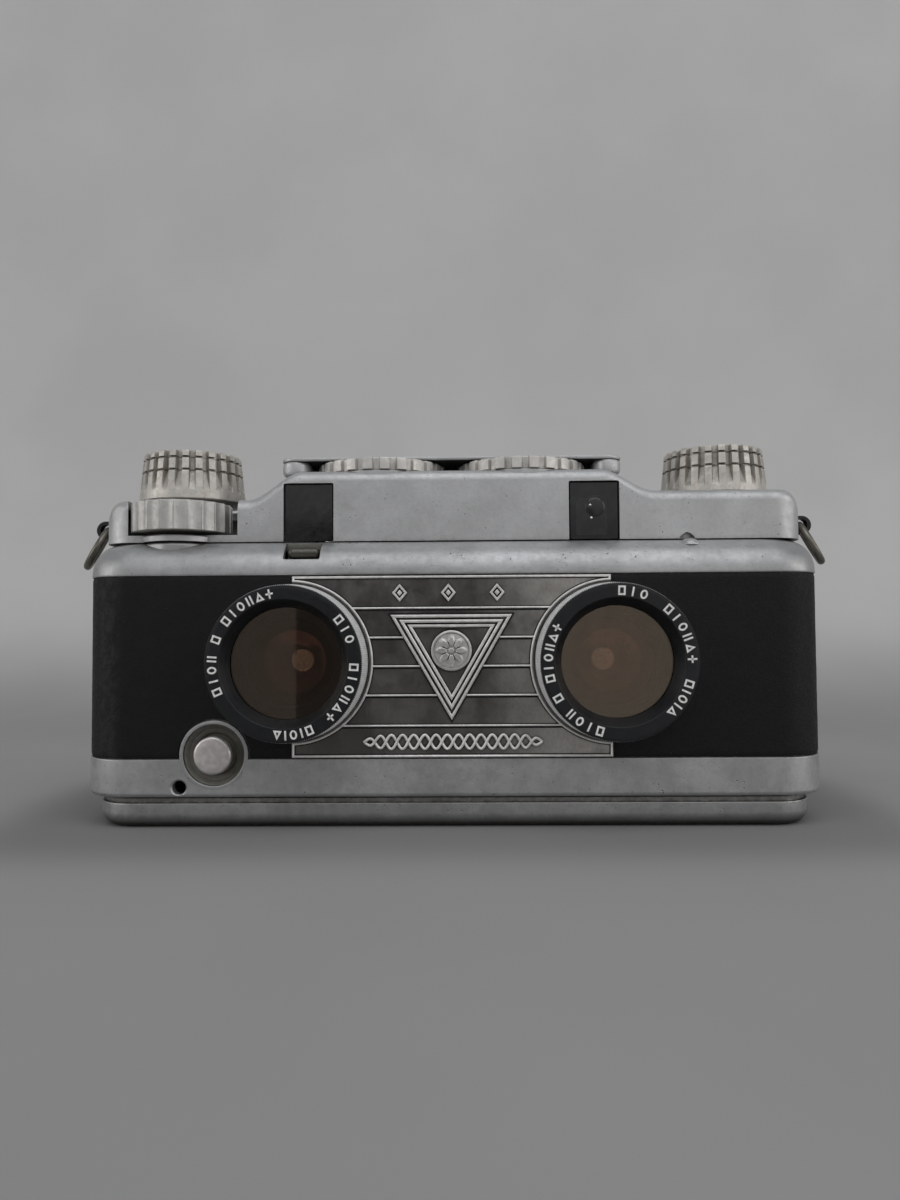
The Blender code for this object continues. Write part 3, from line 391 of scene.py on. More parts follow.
def joined(meshes):
    """Several meshes as one."""
    bm = bmesh.new()
    for mesh in meshes:
        bm.from_mesh(mesh)
        bpy.data.meshes.remove(mesh)
    result = bpy.data.meshes.new("shape")
    bm.to_mesh(result)
    bm.free()
    return result


def skin(rows, ring=False):
    """Vertices and faces of a row of closed loops; ring joins the last to the first."""
    count, total = len(rows[0]), len(rows)
    verts = [p for row in rows for p in row]
    faces = []
    for a in range(total if ring else total - 1):
        b = (a + 1) % total
        for i in range(count):
            j = (i + 1) % count
            faces.append((a * count + i, a * count + j, b * count + j, b * count + i))
    if not ring:
        faces.append(tuple(range(count))[::-1])
        faces.append(tuple((total - 1) * count + i for i in range(count)))
    return verts, faces


def loft(rows, ring=False):
    return mesh_of(*skin(rows, ring))


def spot(a, b, h, facing):
    """A point of an outline (a, b) at depth or height h."""
    return {"Z": (a, b, h), "Y": (a, h, b), "X": (h, a, b)}[facing]


def arc(cx, cy, radius, start, end, steps):
    angles = [math.radians(start + (end - start) * i / steps) for i in range(steps + 1)]
    return [(cx + radius * math.cos(a), cy + radius * math.sin(a)) for a in angles]


def circle(cx, cy, radius, steps=64):
    return arc(cx, cy, radius, 0, 360, steps)[:-1]


def oblong(left, low, right, high):
    return [(left, low), (right, low), (right, high), (left, high)]


def rounded(points, radius, steps=3, closed=False):
    """Each corner of an outline softened by a short curve."""
    result = []
    count = len(points)
    for i, p in enumerate(points):
        if not closed and i in (0, count - 1):
            result.append(tuple(p))
            continue
        corner = Vector(p)
        before = Vector(points[i - 1]) - corner
        after = Vector(points[(i + 1) % count]) - corner
        reach = min(radius, before.length * 0.45, after.length * 0.45)
        start, end = corner + before.normalized() * reach, corner + after.normalized() * reach
        for k in range(steps + 1):
            t = k / steps
            result.append(tuple(start * (1 - t) ** 2 + corner * 2 * t * (1 - t) + end * t * t))
    return result


def shrunk(outline, amount):
    """An anticlockwise outline moved inwards."""
    result = []
    count = len(outline)
    for i in range(count):
        a, p, b = (Vector(outline[k % count]) for k in (i - 1, i, i + 1))
        one, two = (p - a).normalized(), (b - p).normalized()
        across, beyond = Vector((-one.y, one.x)), Vector((-two.y, two.x))
        mitre = (across + beyond) / max(0.4, 1 + across.dot(beyond))
        result.append(tuple(p + mitre * amount))
    return result


def plate(outline, low, high, facing, bevel=0.15, both=True):
    """A flat plate with softened edges."""
    up = 1 if high > low else -1
    rows = []
    if both:
        rows += [(bevel, low), (bevel * 0.3, low + up * bevel * 0.3), (0.0, low + up * bevel)]
    else:
        rows += [(0.0, low)]
    rows += [(0.0, high - up * bevel), (bevel * 0.3, high - up * bevel * 0.3), (bevel, high)]
    return loft([[spot(a, b, h, facing) for a, b in shrunk(outline, inset)] for inset, h in rows])


def ridge(outline, width, base, top, bevel=0.12):
    """A raised rim on a wall that faces the front, just inside a closed outline."""
    up = 1 if top > base else -1
    section = [(0.0, base), (0.0, top - up * bevel), (bevel, top), (width - bevel, top),
               (width, top - up * bevel), (width, base)]
    return loft([[(a, h, b) for a, b in shrunk(outline, inset)] for inset, h in section], ring=True)


def turned(profile, place, axis="Z", steps=96, ring=False, soft=0.15):
    """A profile of (radius, height) turned about an axis, corners softened."""
    px, py, pz = place
    rows = []
    for r, h in rounded(profile, soft, 3, ring):
        loop = []
        for i in range(steps):
            a = 2 * math.pi * i / steps
            x, y = max(r, TINY) * math.cos(a), max(r, TINY) * math.sin(a)
            loop.append((px + x, py + y, pz + h) if axis == "Z" else (px + x, py - h, pz + y))
        rows.append(loop)
    return loft(rows, ring)


def tube(path, radius, sides=8):
    """A closed rod along an open path, its ends rounded off."""
    points = [Vector(p) for p in path]
    rows = []
    last = len(points) - 1
    for i, p in enumerate(points):
        along = (points[min(i + 1, last)] - points[max(i - 1, 0)]).normalized()
        side = along.cross(Vector((0, 1, 0)))
        side = side.normalized() if side.length > 0.01 else Vector((1, 0, 0))
        out = side.cross(along)
        end = min(i, last - i)
        r = radius * (0.45, 0.85)[end] if end < 2 else radius
        loop = []
        for k in range(sides):
            a = 2 * math.pi * k / sides
            loop.append(tuple(p + side * r * math.cos(a) + out * r * math.sin(a)))
        rows.append(loop)
    return loft(rows)


def torus(centre, major, minor, u, v):
    """A wire ring in the plane of u and v."""
    around, section = 72, 16
    normal = u.cross(v)
    rows = []
    for i in range(around):
        a = 2 * math.pi * i / around
        spoke = u * math.cos(a) + v * math.sin(a)
        turns = (2 * math.pi * k / section for k in range(section))
        rows.append([tuple(centre + spoke * (major + minor * math.cos(b)) + normal * minor * math.sin(b))
                     for b in turns])
    return loft(rows, ring=True)


def brick(low, high):
    corners = oblong(low[0], low[1], high[0], high[1])
    return loft([[(a, b, z) for a, b in corners] for z in (low[2], high[2])])


def rod(radius, start, end, steps=48):
    """A plain cylinder between two points along X, Y or Z, for cutting."""
    start, end = Vector(start), Vector(end)
    axis = max(range(3), key=lambda i: abs(end[i] - start[i]))
    facing = "XYZ"[axis]
    a, b = [i for i in range(3) if i != axis]
    return loft([[spot(p, q, h, facing) for p, q in circle(start[a], start[b], radius, steps)]
                        for h in (start[axis], end[axis])])


def carve(mesh, tools, operation="DIFFERENCE"):
    """Exact boolean of a mesh with each tool in turn."""
    scene = bpy.context.scene.collection
    holder = bpy.data.objects.new("carving", mesh)
    scene.objects.link(holder)
    helpers = []
    for tool in tools:
        helper = bpy.data.objects.new("tool", tool)
        scene.objects.link(helper)
        helpers.append(helper)
        modifier = holder.modifiers.new("cut", "BOOLEAN")
        modifier.solver, modifier.operation, modifier.object = "EXACT", operation, helper
    bpy.context.view_layer.update()
    graph = bpy.context.evaluated_depsgraph_get()
    result = bpy.data.meshes.new_from_object(holder.evaluated_get(graph))
    for obj in [holder] + helpers:
        bpy.data.objects.remove(obj, do_unlink=True)
    return result


def softened(mesh, width):
    """The sharp edges of a carved mesh given a small bevel."""
    holder = bpy.data.objects.new("softening", mesh)
    bpy.context.scene.collection.objects.link(holder)
    weld = holder.modifiers.new("weld", "WELD")
    weld.merge_threshold = 0.01 * MM
    bevel = holder.modifiers.new("bevel", "BEVEL")
    bevel.width, bevel.segments = width * MM, 2
    bevel.limit_method, bevel.angle_limit = "ANGLE", math.radians(50)
    bevel.use_clamp_overlap, bevel.miter_outer = True, "MITER_ARC"
    bpy.context.view_layer.update()
    graph = bpy.context.evaluated_depsgraph_get()
    result = bpy.data.meshes.new_from_object(holder.evaluated_get(graph))
    bpy.data.objects.remove(holder, do_unlink=True)
    return result


def piece(name, mesh, finish, body, stands_for=(), smooth=35):
    mesh.name = name
    mesh.materials.clear()
    mesh.materials.append(finish)
    obj = bpy.data.objects.new(name, mesh)
    bpy.context.scene.collection.objects.link(obj)
    if smooth:
        mesh.shade_smooth()
        mesh.set_sharp_from_angle(angle=math.radians(smooth))
        obj.modifiers.new("normals", "WEIGHTED_NORMAL").keep_sharp = True
    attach(obj, body)
    if stands_for:
        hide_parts(*stands_for)


# ---- finishes ----------------------------------------------------------------------
ALLOY = cast_metal("worn_alloy", (0.54, 0.545, 0.55), (0.42, 0.423, 0.427), 0.44, 0.75)
COVER_ALLOY = cast_metal("cover_alloy", (0.60, 0.605, 0.61), (0.51, 0.513, 0.517), 0.46, 0.65, 0.8)
# the base pan's last figure paints shade towards the floor
TRAY_ALLOY = cast_metal("tray_alloy", (0.45, 0.452, 0.452), (0.36, 0.36, 0.36), 0.42, 0.8, 1.2, 1.3, 0.8)
LEATHER = leather("grained_leather")
PEWTER = pewter("antiqued_pewter")
RIM_METAL = polished("rim_silver", (0.95, 0.935, 0.91), 0.32, 0.5, 0.3, 0.4)
CHROME = polished("bright_chrome", (0.88, 0.88, 0.88), 0.16, 0.7, 0.3)
KNURL_METAL = polished("knurl_silver", (1.0, 1.0, 1.0), 0.34, 0.15, 0.2, 0.1)
# the medallion's deep occlusion paints shade into its recesses
MEDAL_METAL = polished("medal_silver", (0.80, 0.79, 0.77), 0.34, 1.0, 0.45, 0.8)
DISH_METAL = polished("dish_metal", (0.25, 0.245, 0.215), 0.45, 0.6, 1.5, 0.7)
BUTTON_METAL = polished("button_metal_worn", (0.88, 0.835, 0.825), 0.38, 0.6, 0.8)
FILTER_BLACK = enamel("filter_enamel", (0.0050, 0.0060, 0.0072), 0.42)
BARREL_BLACK = enamel("barrel_enamel", (0.006, 0.006, 0.007), 0.38, 0.4)
BLACK_METAL = enamel("black_fitting", (0.010, 0.010, 0.011), 0.40)
MATT_BLACK = enamel("matt_black", (0.006, 0.006, 0.006), 0.8, 0.3)
KNOB_METAL = grip_metal("knob_alloy", (0.70, 0.675, 0.63))
WHEEL_METAL = grip_metal("wheel_alloy", (0.70, 0.69, 0.67), 0.45)
DIAL_METAL = grip_metal("dial_alloy", (0.78, 0.76, 0.73), 0.6)
RING_STEEL = cast_metal("ring_tarnish", (0.27, 0.25, 0.215), (0.13, 0.12, 0.10), 0.36, 0.9, 0.9, 0.6)
STEEL = polished("plain_steel", (0.58, 0.58, 0.59), 0.30, 0.6, 1.0)
BRASS = polished("plain_brass", (0.60, 0.45, 0.20), 0.30, 0.6, 1.0)
FILTER_GLASS = glass("filter_amber", (0.30, 0.247, 0.197), 0.38, 0.012)
LENS_GLASS = glass("lens_glass", (0.33, 0.115, 0.08), 0.42, 0.03)
INNER_GLASS = glass("inner_glass", (0.30, 0.17, 0.12), 0.35, 0.12)
# painted light: the pupil glows to stand for light coming through the lens
PUPIL = glow("pupil_glow", (1.0, 0.56, 0.33), 1.3)
CLEAR_GLASS = glass("clear_glass_dusty", (0.30, 0.31, 0.30), 0.5, 0.05)
VIAL_GLASS = glass("vial_glass", (0.115, 0.108, 0.090), 0.9, 0.12, 0.4)
HOOD_GLASS = enamel("finder_hood_glass", (0.020, 0.020, 0.021), 0.18, 0.6)
DARK_GLASS = enamel("window_dark", (0.0135, 0.0140, 0.0145), 0.10, 0.4)
WHITE_PAINT = white_paint("mark_fill")

CAD_FINISHES = {
    "satin_casting": ALLOY, "black_leather": LEATHER, "pewter": PEWTER,
    "bright_trim": RIM_METAL, "black_enamel": BARREL_BLACK, "amber_glass": FILTER_GLASS,
    "clear_glass": CLEAR_GLASS, "dark_glass": DARK_GLASS, "knob_metal": WHEEL_METAL,
    "button_metal": BUTTON_METAL, "black_metal": BLACK_METAL, "ring_steel": RING_STEEL,
    "brass": BRASS, "steel": STEEL, "chrome": CHROME, "inner_black": MATT_BLACK,
}


# ---- body casting ------------------------------------------------------------------
def shoulder(z):
    """How far the rounded shoulder has drawn in at a height, 0 to nearly 1."""
    rise = max(0.0, min(1.0, (z - SHOULDER_Z) / (BODY_TOP - SHOULDER_Z)))
    return 1.0 - math.sqrt(max(0.0, 1.0 - (0.97 * rise) ** 2))


def shoulder_heights(top, steps):
    return [SHOULDER_Z + (top - SHOULDER_Z) * math.sin(math.radians(90 * i / steps))
            for i in range(steps + 1)]


def front_path(inset, rear, half=BODY_HALF, front=FRONT_Y):
    """The body's outline in plan, from the left over the front to the right."""
    hx, fy, r = half - inset, front + inset, CORNER_R - inset
    return ([(-hx, rear)] + arc(-hx + r, fy + r, r, 180, 270, 18)
            + arc(hx - r, fy + r, r, 270, 360, 18) + [(hx, rear)])


def rear_path(inset, front):
    """The back's outline in plan, from the right round the rear to the left."""
    hx, ry, r = BODY_HALF - inset, BACK_Y - inset, REAR_CORNER_R - inset
    return ([(hx, front)] + arc(hx - r, ry - r, r, 0, 90, 16)
            + arc(-hx + r, ry - r, r, 90, 180, 16) + [(-hx, front)])


def front_section(z, inset, rear):
    draw = shoulder(z) / shoulder(BODY_TOP)
    path = front_path(inset, rear, BODY_HALF - SHOULDER_IN_X * draw, FRONT_Y + SHOULDER_IN_Y * draw)
    return [(x, y, z) for x, y in path]


def rear_section(z, inset, front):
    draw = shoulder(z) / shoulder(BODY_TOP)
    squeeze = (BODY_HALF - inset - SHOULDER_IN_X * draw) / (BODY_HALF - inset)
    return [(x * squeeze, y - 0.6 * draw * (y > front + 0.1), z) for x, y in rear_path(inset, front)]


def wall_rows():
    """(height, inset) of a body wall with its sunk panel, from the bottom up."""
    radius = 1.1
    rows = []
    for step in range(5):
        a = math.radians(22.5 * step)
        rows.append((BODY_LOW + radius * (1 - math.cos(a)), radius * (1 - math.sin(a))))
    rows += [(PANEL_LOW - 0.35, 0.0), (PANEL_LOW - 0.1, 0.06), (PANEL_LOW, 0.22),
             (PANEL_LOW, PANEL_DEPTH), (PANEL_TOP, PANEL_DEPTH), (PANEL_TOP, 0.22),
             (PANEL_TOP + 0.1, 0.06), (PANEL_TOP + 0.3, 0.0)]
    rows += [(z, 0.0) for z in shoulder_heights(BODY_TOP, 14)]
    return rows


def casting():
    shell = loft([front_section(z, inset, SEAM_Y) for z, inset in wall_rows()])
    inner = [front_section(z, 2.0, SEAM_Y + 2) for z in [CAVITY_LOW] + shoulder_heights(CAVITY_TOP, 8)]
    shell = carve(shell, [loft(inner)])
    boss = turned([(0, 58.8), (8.7, 58.8), (8.7, 62.4), (8.3, BODY_TOP), (0, BODY_TOP)],
                  (*WHEEL, 0), soft=0.3)
    shell = carve(shell, [boss], "UNION")
    y0, y1 = FRONT_Y - 2, FRONT_Y + 4
    tools = [rod(17.0, (s * LENS_X, y0, LENS_Z), (s * LENS_X, y1, LENS_Z), 96) for s in (-1, 1)]
    x, z = BUTTON
    tools.append(rod(DISH_R + 0.3, (x, y0, z), (x, y1, z), 96))
    x, z = SOCKET
    tools.append(rod(SOCKET_R, (x, y0, z), (x, y1, z), 40))
    tools.append(chamfer_cone(x, z))
    left, right = NOTCH
    notch = rounded([(left, NOTCH_LOW), (right, NOTCH_LOW), (right, 62.0), (right + 1.6, 64.5),
                     (left - 0.7, 64.5), (left, 62.2)], 0.45, 4, True)
    tools.append(loft([[(a, h, b) for a, b in notch] for h in (FRONT_Y - 1, -12.2)]))
    for hx, hy, r in ((*WHEEL, 2.4), (-KNOB_X, KNOB_Y, BORE_R), (KNOB_X, KNOB_Y, BORE_R)):
        tools.append(rod(r, (hx, hy, 56), (hx, hy, 64)))
    shell = softened(carve(shell, tools), 0.16)
    piece("casting", shell, ALLOY, "camera", ["front_shell"])


def chamfer_cone(x, z):
    """Cuts the small countersink of the cable socket."""
    ends = ((SOCKET_R - 0.05, FRONT_Y + 0.4), (SOCKET_R + 0.55, FRONT_Y - 0.2))
    return loft([[(a, y, b) for a, b in circle(x, z, r, 40)] for r, y in ends])


# ---- back cover and base -------------------------------------------------------------
def back():
    front = SEAM_Y + 0.3
    shell = loft([rear_section(z, inset, front) for z, inset in wall_rows()])
    inner = [rear_section(z, 1.7, front - 2) for z in [CAVITY_LOW] + shoulder_heights(CAVITY_TOP, 8)]
    shell = softened(carve(shell, [loft(inner)]), 0.16)
    piece("back_shell", shell, ALLOY, "back", ["back_cover"])

    angles = [math.radians(10 * i) for i in range(10)]
    rows = [tray_section(3.2 * (1 - math.cos(a)), 3.2 * (1 - math.sin(a))) for a in angles]
    rows += [tray_section(TRAY_TOP - 0.35, 0.0), tray_section(TRAY_TOP - 0.1, 0.1),
             tray_section(TRAY_TOP, 0.35), tray_section(TRAY_TOP, LIP_IN), tray_section(LIP_TOP, LIP_IN)]
    pan = loft(rows)
    hollow = ((1.6, 3.2), (3.2, 1.8), (TRAY_TOP + 2, 1.8))
    pan = carve(pan, [loft([tray_section(z, inset) for z, inset in hollow])])
    pan = carve(pan, [brick((-74, 20.4, 3.0), (74, 21.2, 8.5))], "UNION")
    holes = [rod(8.3, (x, 0, -1), (x, 0, 3)) for x in (-KEY_X, 0, KEY_X)]
    pan = softened(carve(pan, holes), 0.14)
    piece("base_pan", pan, TRAY_ALLOY, "back")


def tray_section(z, inset):
    hx, front, rear, r = TRAY_HALF - inset, TRAY_FRONT + inset, TRAY_REAR - inset, 9.0 - inset
    corners = ((-hx + r, front + r, 180), (hx - r, front + r, 270),
               (hx - r, rear - r, 0), (-hx + r, rear - r, 90))
    return [(x, y, z) for cx, cy, start in corners for x, y in arc(cx, cy, r, start, start + 90, 14)]


# ---- top cover -----------------------------------------------------------------------
def cover_height(x, inset):
    half = COVER_HALF - inset
    deck = (DECK_RIGHT if x > 0 else DECK_LEFT) - inset
    reach = min(1.0, max(0.0, (abs(x) - RAMP_INNER) / (RAMP_OUTER - RAMP_INNER)))
    blend = reach * reach * (3 - 2 * reach)
    height = (HUMP_TOP - inset) * (1 - blend) + deck * blend
    radius = 5.0 - inset * 0.5
    over = max(0.0, abs(x) - (half - radius))
    return height - (radius - math.sqrt(max(0.0, radius ** 2 - over ** 2)))


def cover_section(x, inset, low, steps=9):
    half, radius = COVER_HALF - inset, 7.0 - inset
    over = max(0.0, abs(x) - (half - radius))
    pull = radius - math.sqrt(max(0.0, radius ** 2 - over ** 2))
    front, rear = COVER_FRONT + inset + pull, COVER_REAR - inset - pull
    top, edge = cover_height(x, inset), 2.6 - inset * 0.8
    path = [(front, low)] + arc(front + edge, top - edge, edge, 180, 90, steps)
    path += arc(rear - edge, top - edge, edge, 90, 0, steps) + [(rear, low)]
    return [(x, y, z) for y, z in path]


def cover_stations(inset, ramps=16, ends=14):
    half = COVER_HALF - inset
    ramp = [RAMP_INNER + (RAMP_OUTER - RAMP_INNER) * i / ramps for i in range(ramps + 1)]
    end = [half - 7.0 + 7.0 * math.sin(math.radians(90 * i / ends)) for i in range(ends + 1)]
    right = [0.0] + ramp + end
    return [-x for x in right[:0:-1]] + right


def cover():
    shell = loft([cover_section(x, 0.0, COVER_LOW) for x in cover_stations(0.0)])
    cavity = loft([cover_section(x, 1.8, COVER_LOW - 2, 4) for x in cover_stations(1.8, 6, 6)])
    shell = carve(shell, [cavity])
    boss = turned([(0, COVER_LOW), (8.9, COVER_LOW), (8.9, 64.3), (8.6, 64.6), (0, 64.6)],
                  (*WHEEL, 0), soft=0.1)
    shell = carve(shell, [boss], "UNION")
    pocket = rounded(oblong(-72.8, -14.0, -48.5, 12.6), 2.5, 5, True)
    tools = [loft([[(a, b, h) for a, b in pocket] for h in (COVER_LOW + 1.6, 80)]),
             rod(WHEEL_R + 0.6, (*WHEEL, COVER_LOW + 1.6), (*WHEEL, 80), 72)]
    for side in (-1, 1):
        x = side * WINDOW_X
        half = WINDOW_W / 2
        opening = rounded(oblong(x - half, COVER_LOW - 1, x + half, WINDOW_TOP), 0.45, 4, True)
        tools.append(loft([[(a, h, b) for a, b in opening] for h in (COVER_FRONT - 1, -7.0)]))
        tools.append(rod(2.4, (side * DIAL_X, DIAL_Y, 70), (side * DIAL_X, DIAL_Y, 81)))
    tools.append(rod(2.4, (*WHEEL, 60), (*WHEEL, 66)))
    tools.append(rod(BORE_R, (KNOB_X, KNOB_Y, 70), (KNOB_X, KNOB_Y, 76)))
    tools.append(rod(5.2, (-WINDOW_X, 18, 69.5), (-WINDOW_X, 24, 69.5)))
    nick = [(51.2, 62.6), (55.2, 62.6), (54.6, 63.7), (53.9, 64.3), (53.1, 64.6), (52.3, 64.2),
            (51.6, 63.6)]
    tools.append(loft([[(a, h, b) for a, b in nick] for h in (COVER_FRONT - 1, COVER_FRONT + 0.9)]))
    shell = softened(carve(shell, tools), 0.16)
    piece("cover", shell, COVER_ALLOY, "camera", ["top_cover"])
    nib = turned([(0, 1.15), (1.2, 0.95), (2.1, 0.35), (2.5, -0.6), (0, -0.6)],
                 (53.3, -12.2, 61.9), "Z", 48, soft=0.4)
    piece("index_nib", nib, ALLOY, "camera")


# ---- leather -------------------------------------------------------------------------
HIDE_STEP, HIDE_THICK = 0.5, 0.42


def resampled(points, step):
    """The same path with points at an even spacing."""
    result = [Vector(points[0])]
    for a, b in zip(points, points[1:]):
        a, b = Vector(a), Vector(b)
        parts = max(1, round((b - a).length / step))
        result += [a.lerp(b, k / parts) for k in range(1, parts + 1)]
    return [p for i, p in enumerate(result) if i == 0 or (p - result[i - 1]).length > 1e-5]


def hide(path, low, high):
    """A sheet of leather on a path in plan: soft pebbled outside, flat inside."""
    points = resampled(path, HIDE_STEP)
    rows = round((high - low) / HIDE_STEP)
    verts, faces = [], []
    last = len(points) - 1
    for i, p in enumerate(points):
        along = (points[min(i + 1, last)] - points[max(i - 1, 0)]).normalized()
        normal = Vector((along.y, -along.x))
        for k in range(rows + 1):
            z = low + (high - low) * k / rows
            edge = min(k, rows - k, i, last - i)
            fall = (0.16, 0.03)[edge] if edge < 2 else 0.0
            at = Vector((p.x, p.y, z))
            pebble = noise.noise(at * 0.9) * 0.5 + noise.noise(at * 0.3)
            out = 0.03 * pebble - fall
            verts.append((p.x + normal.x * out, p.y + normal.y * out, z))
        for k in range(rows + 1):
            z = low + (high - low) * k / rows
            verts.append((p.x - normal.x * HIDE_THICK, p.y - normal.y * HIDE_THICK, z))
    width = rows + 1
    for i in range(last):
        a, b = i * 2 * width, (i + 1) * 2 * width
        for k in range(rows):
            faces.append((a + k, b + k, b + k + 1, a + k + 1))
            faces.append((a + width + k, a + width + k + 1, b + width + k + 1, b + width + k))
        faces.append((a, a + width, b + width, b))
        faces.append((a + rows, b + rows, b + width + rows, a + width + rows))
    for a in (0, last * 2 * width):
        for k in range(rows):
            faces.append((a + k, a + k + 1, a + width + k + 1, a + width + k))
    return mesh_of(verts, faces)


def leathers():
    low, high, edge = PANEL_LOW + 0.15, PANEL_TOP - 0.12, PLATE_HALF + 0.15
    path = front_path(0.14, SEAM_Y - 0.3)
    half = len(path) // 2
    for side, tag in ((-1, "left"), (1, "right")):
        end = [(side * edge, path[half][1])]
        part = path[:half] + end if side < 0 else end + path[half:]
        sheet = hide(part, low, high)
        tools = [rod(17.25, (side * LENS_X, -20, LENS_Z), (side * LENS_X, -13, LENS_Z), 96)]
        if side < 0:
            x, z = BUTTON
            tools.append(rod(RIM_R + 0.35, (x, -20, z), (x, -13, z), 96))
        piece("leather_panel_" + tag, carve(sheet, tools), LEATHER, "camera",
              ["leather_" + tag], 50)
    sheet = hide(rear_path(0.14, SEAM_Y + 0.6), low, high)
    piece("back_covering", sheet, LEATHER, "back", ["back_leather"], 50)


# ---- nameplate -----------------------------------------------------------------------
def plate_outline(half, low, high, radius):
    def bite(cx, start, end):
        return arc(cx, LENS_Z, radius, start, end, 40)
    inner = math.degrees(math.acos((LENS_X - half) / radius))
    return ([(-half, low), (half, low)] + bite(LENS_X, 180 + inner, 180 - inner)
            + [(half, high), (-half, high)] + bite(-LENS_X, inner, -inner))


def arc_edge(z, radius):
    """Half width of the plate at a height."""
    return LENS_X - math.sqrt(max(0.0, radius ** 2 - (z - LENS_Z) ** 2))


def bar(x0, x1, z, width, base, top):
    """A thin raised line across the plate."""
    h = width / 2
    crown = [(z + h * math.cos(a), top + h - h * math.sin(a))
             for a in (math.radians(180 - 20 * i) for i in range(10))]
    section = [(z - h, base)] + crown + [(z + h, base)]
    return loft([[(x, y, b) for b, y in section] for x in (x0, x1)])


TRIANGLE = [(0.0, 23.4), (13.2, 46.2), (-13.2, 46.2)]
FIELD_Y, LINE_Y = FRONT_Y + 0.12, FRONT_Y - 0.42
LINES = (47.7, 41.3, 35.05, 28.75, 22.2)


def line_spans(z):
    """The stretches of a cross line that are left and right of the emblem."""
    reach = arc_edge(z, PLATE_ARC_R + 0.3)
    share = (z - TRIANGLE[0][1]) / (TRIANGLE[1][1] - TRIANGLE[0][1])
    if not 0 < share < 1:
        return [(-reach, reach)]
    inner = TRIANGLE[1][0] * share + 0.1
    return [(-reach, -inner), (inner, reach)]


def plate_group():
    low, high = LENS_Z - 20.6, LENS_Z + 18.7
    outline = plate_outline(PLATE_HALF, low, high, PLATE_ARC_R)
    piece("nameplate_field", plate(outline, FRONT_Y + 0.5, FIELD_Y, "Y", 0.05),
          PEWTER, "camera", ["nameplate"])
    rims = [ridge(outline, 0.48, FIELD_Y + 0.1, LINE_Y, bevel=0.19)]
    black_fill_and_shadow = [ridge(outline, 0.70, FIELD_Y + 0.1, FIELD_Y - 0.04, bevel=0.02)]
    for z in LINES:
        for a, b in line_spans(z):
            rims.append(bar(a, b, z, 0.40, FIELD_Y + 0.1, LINE_Y + 0.06))
            # black paint along each line, reaching further below it: partly a painted shadow under the
            # line
            strip = oblong(a, z - 0.62, b, z + 0.36)
            black_fill_and_shadow.append(plate(strip, FIELD_Y + 0.1, FIELD_Y - 0.03, "Y", 0.02, False))
    piece("nameplate_rim", joined(rims), RIM_METAL, "camera")
    black_fill_and_shadow.append(plate(shrunk(TRIANGLE, -0.3), FIELD_Y + 0.1, FRONT_Y - 0.18, "Y", 0.1, False))
    piece("nameplate_inlay", joined(black_fill_and_shadow), MATT_BLACK, "camera")

    ground = plate(shrunk(TRIANGLE, 2.9), FRONT_Y, FRONT_Y - 0.24, "Y", 0.04, False)
    step = ridge(shrunk(TRIANGLE, 0.70), 0.34, FRONT_Y, FRONT_Y - 0.45)
    piece("emblem_field", joined([ground, step]), PEWTER, "camera")
    rims = [ridge(shrunk(TRIANGLE, inset), 0.62, FRONT_Y - 0.1, FRONT_Y - height, bevel=0.24)
            for inset, height in ((0.0, 0.80), (1.10, 1.0), (2.12, 0.82))]
    piece("emblem_ridges", joined(rims), RIM_METAL, "camera", ["emblem_frame"])
    piece("medallion", medallion(0.0, 38.4, 4.4), MEDAL_METAL, "camera",
          ["emblem_medallion"], 60)
    ornaments()


def medallion(cx, cz, radius):
    """A domed disc with a plain eight-petal rosette, a centre boss and a rim."""
    rings, steps, petals = 44, 160, 8
    base = FRONT_Y - 0.2
    rows = [[(cx + r * math.cos(a), base, cz + r * math.sin(a))
             for a in (2 * math.pi * i / steps for i in range(steps))] for r in (TINY, radius)]
    for k in range(rings + 1):
        t = 1 - k / rings
        r = max(TINY, radius * t)
        row = []
        for i in range(steps):
            a = 2 * math.pi * i / steps
            dome = 0.35 * math.sqrt(max(0.0, 1 - t * t))
            wave = abs(math.cos(petals * a / 2))
            tip = smooth(0.0, 0.10, 0.40 + 0.38 * wave - t)
            leaf = tip * smooth(0.20, 0.26, t) * smooth(0.10, 0.35, wave)
            boss = smooth(0.0, 0.05, 0.17 - t)
            rim = smooth(0.86, 0.89, t)
            row.append((cx + r * math.cos(a), base - 0.2 - dome - 0.34 * max(leaf, boss, rim),
                        cz + r * math.sin(a)))
        rows.append(row)
    return loft(rows)


def lozenge(x, z, w, h):
    """A hollow diamond with a small solid one inside it."""
    outline = [(x, z - h), (x + w, z), (x, z + h), (x - w, z)]
    core = plate(shrunk(outline, 0.82), FIELD_Y + 0.1, LINE_Y, "Y", 0.1, False)
    return [ridge(outline, 0.48, FIELD_Y + 0.1, LINE_Y - 0.08, bevel=0.18), core]


def ornaments():
    """Plain ornaments where the original carries its maker's lettering."""
    parts = []
    for x in (-11.2, -0.6, 10.0):
        parts += lozenge(x, 51.0, 1.65, 1.95)
    span, waves, middle, swing, samples = 19.4, 8, 0.2, 1.5, 160
    for sign in (-1, 1):
        path = []
        for i in range(samples + 1):
            t = i / samples
            swell = math.sin(math.pi * min(1.0, min(t, 1 - t) * 6 + 0.12) / 2)
            turn = 2 * math.pi * waves * t
            path.append((middle + span * (2 * t - 1), FRONT_Y - 0.16 - 0.14 * sign * math.cos(turn),
                         18.7 + sign * swing * swell * math.sin(turn)))
        parts.append(tube(path, 0.31))
    piece("nameplate_ornament", joined(parts), RIM_METAL, "camera")


# ---- lenses and filters ----------------------------------------------------------------
TEETH, TOOTH = 240, 0.17
RIM_LOW = 25.3                  # where the filter's black face meets its bright side


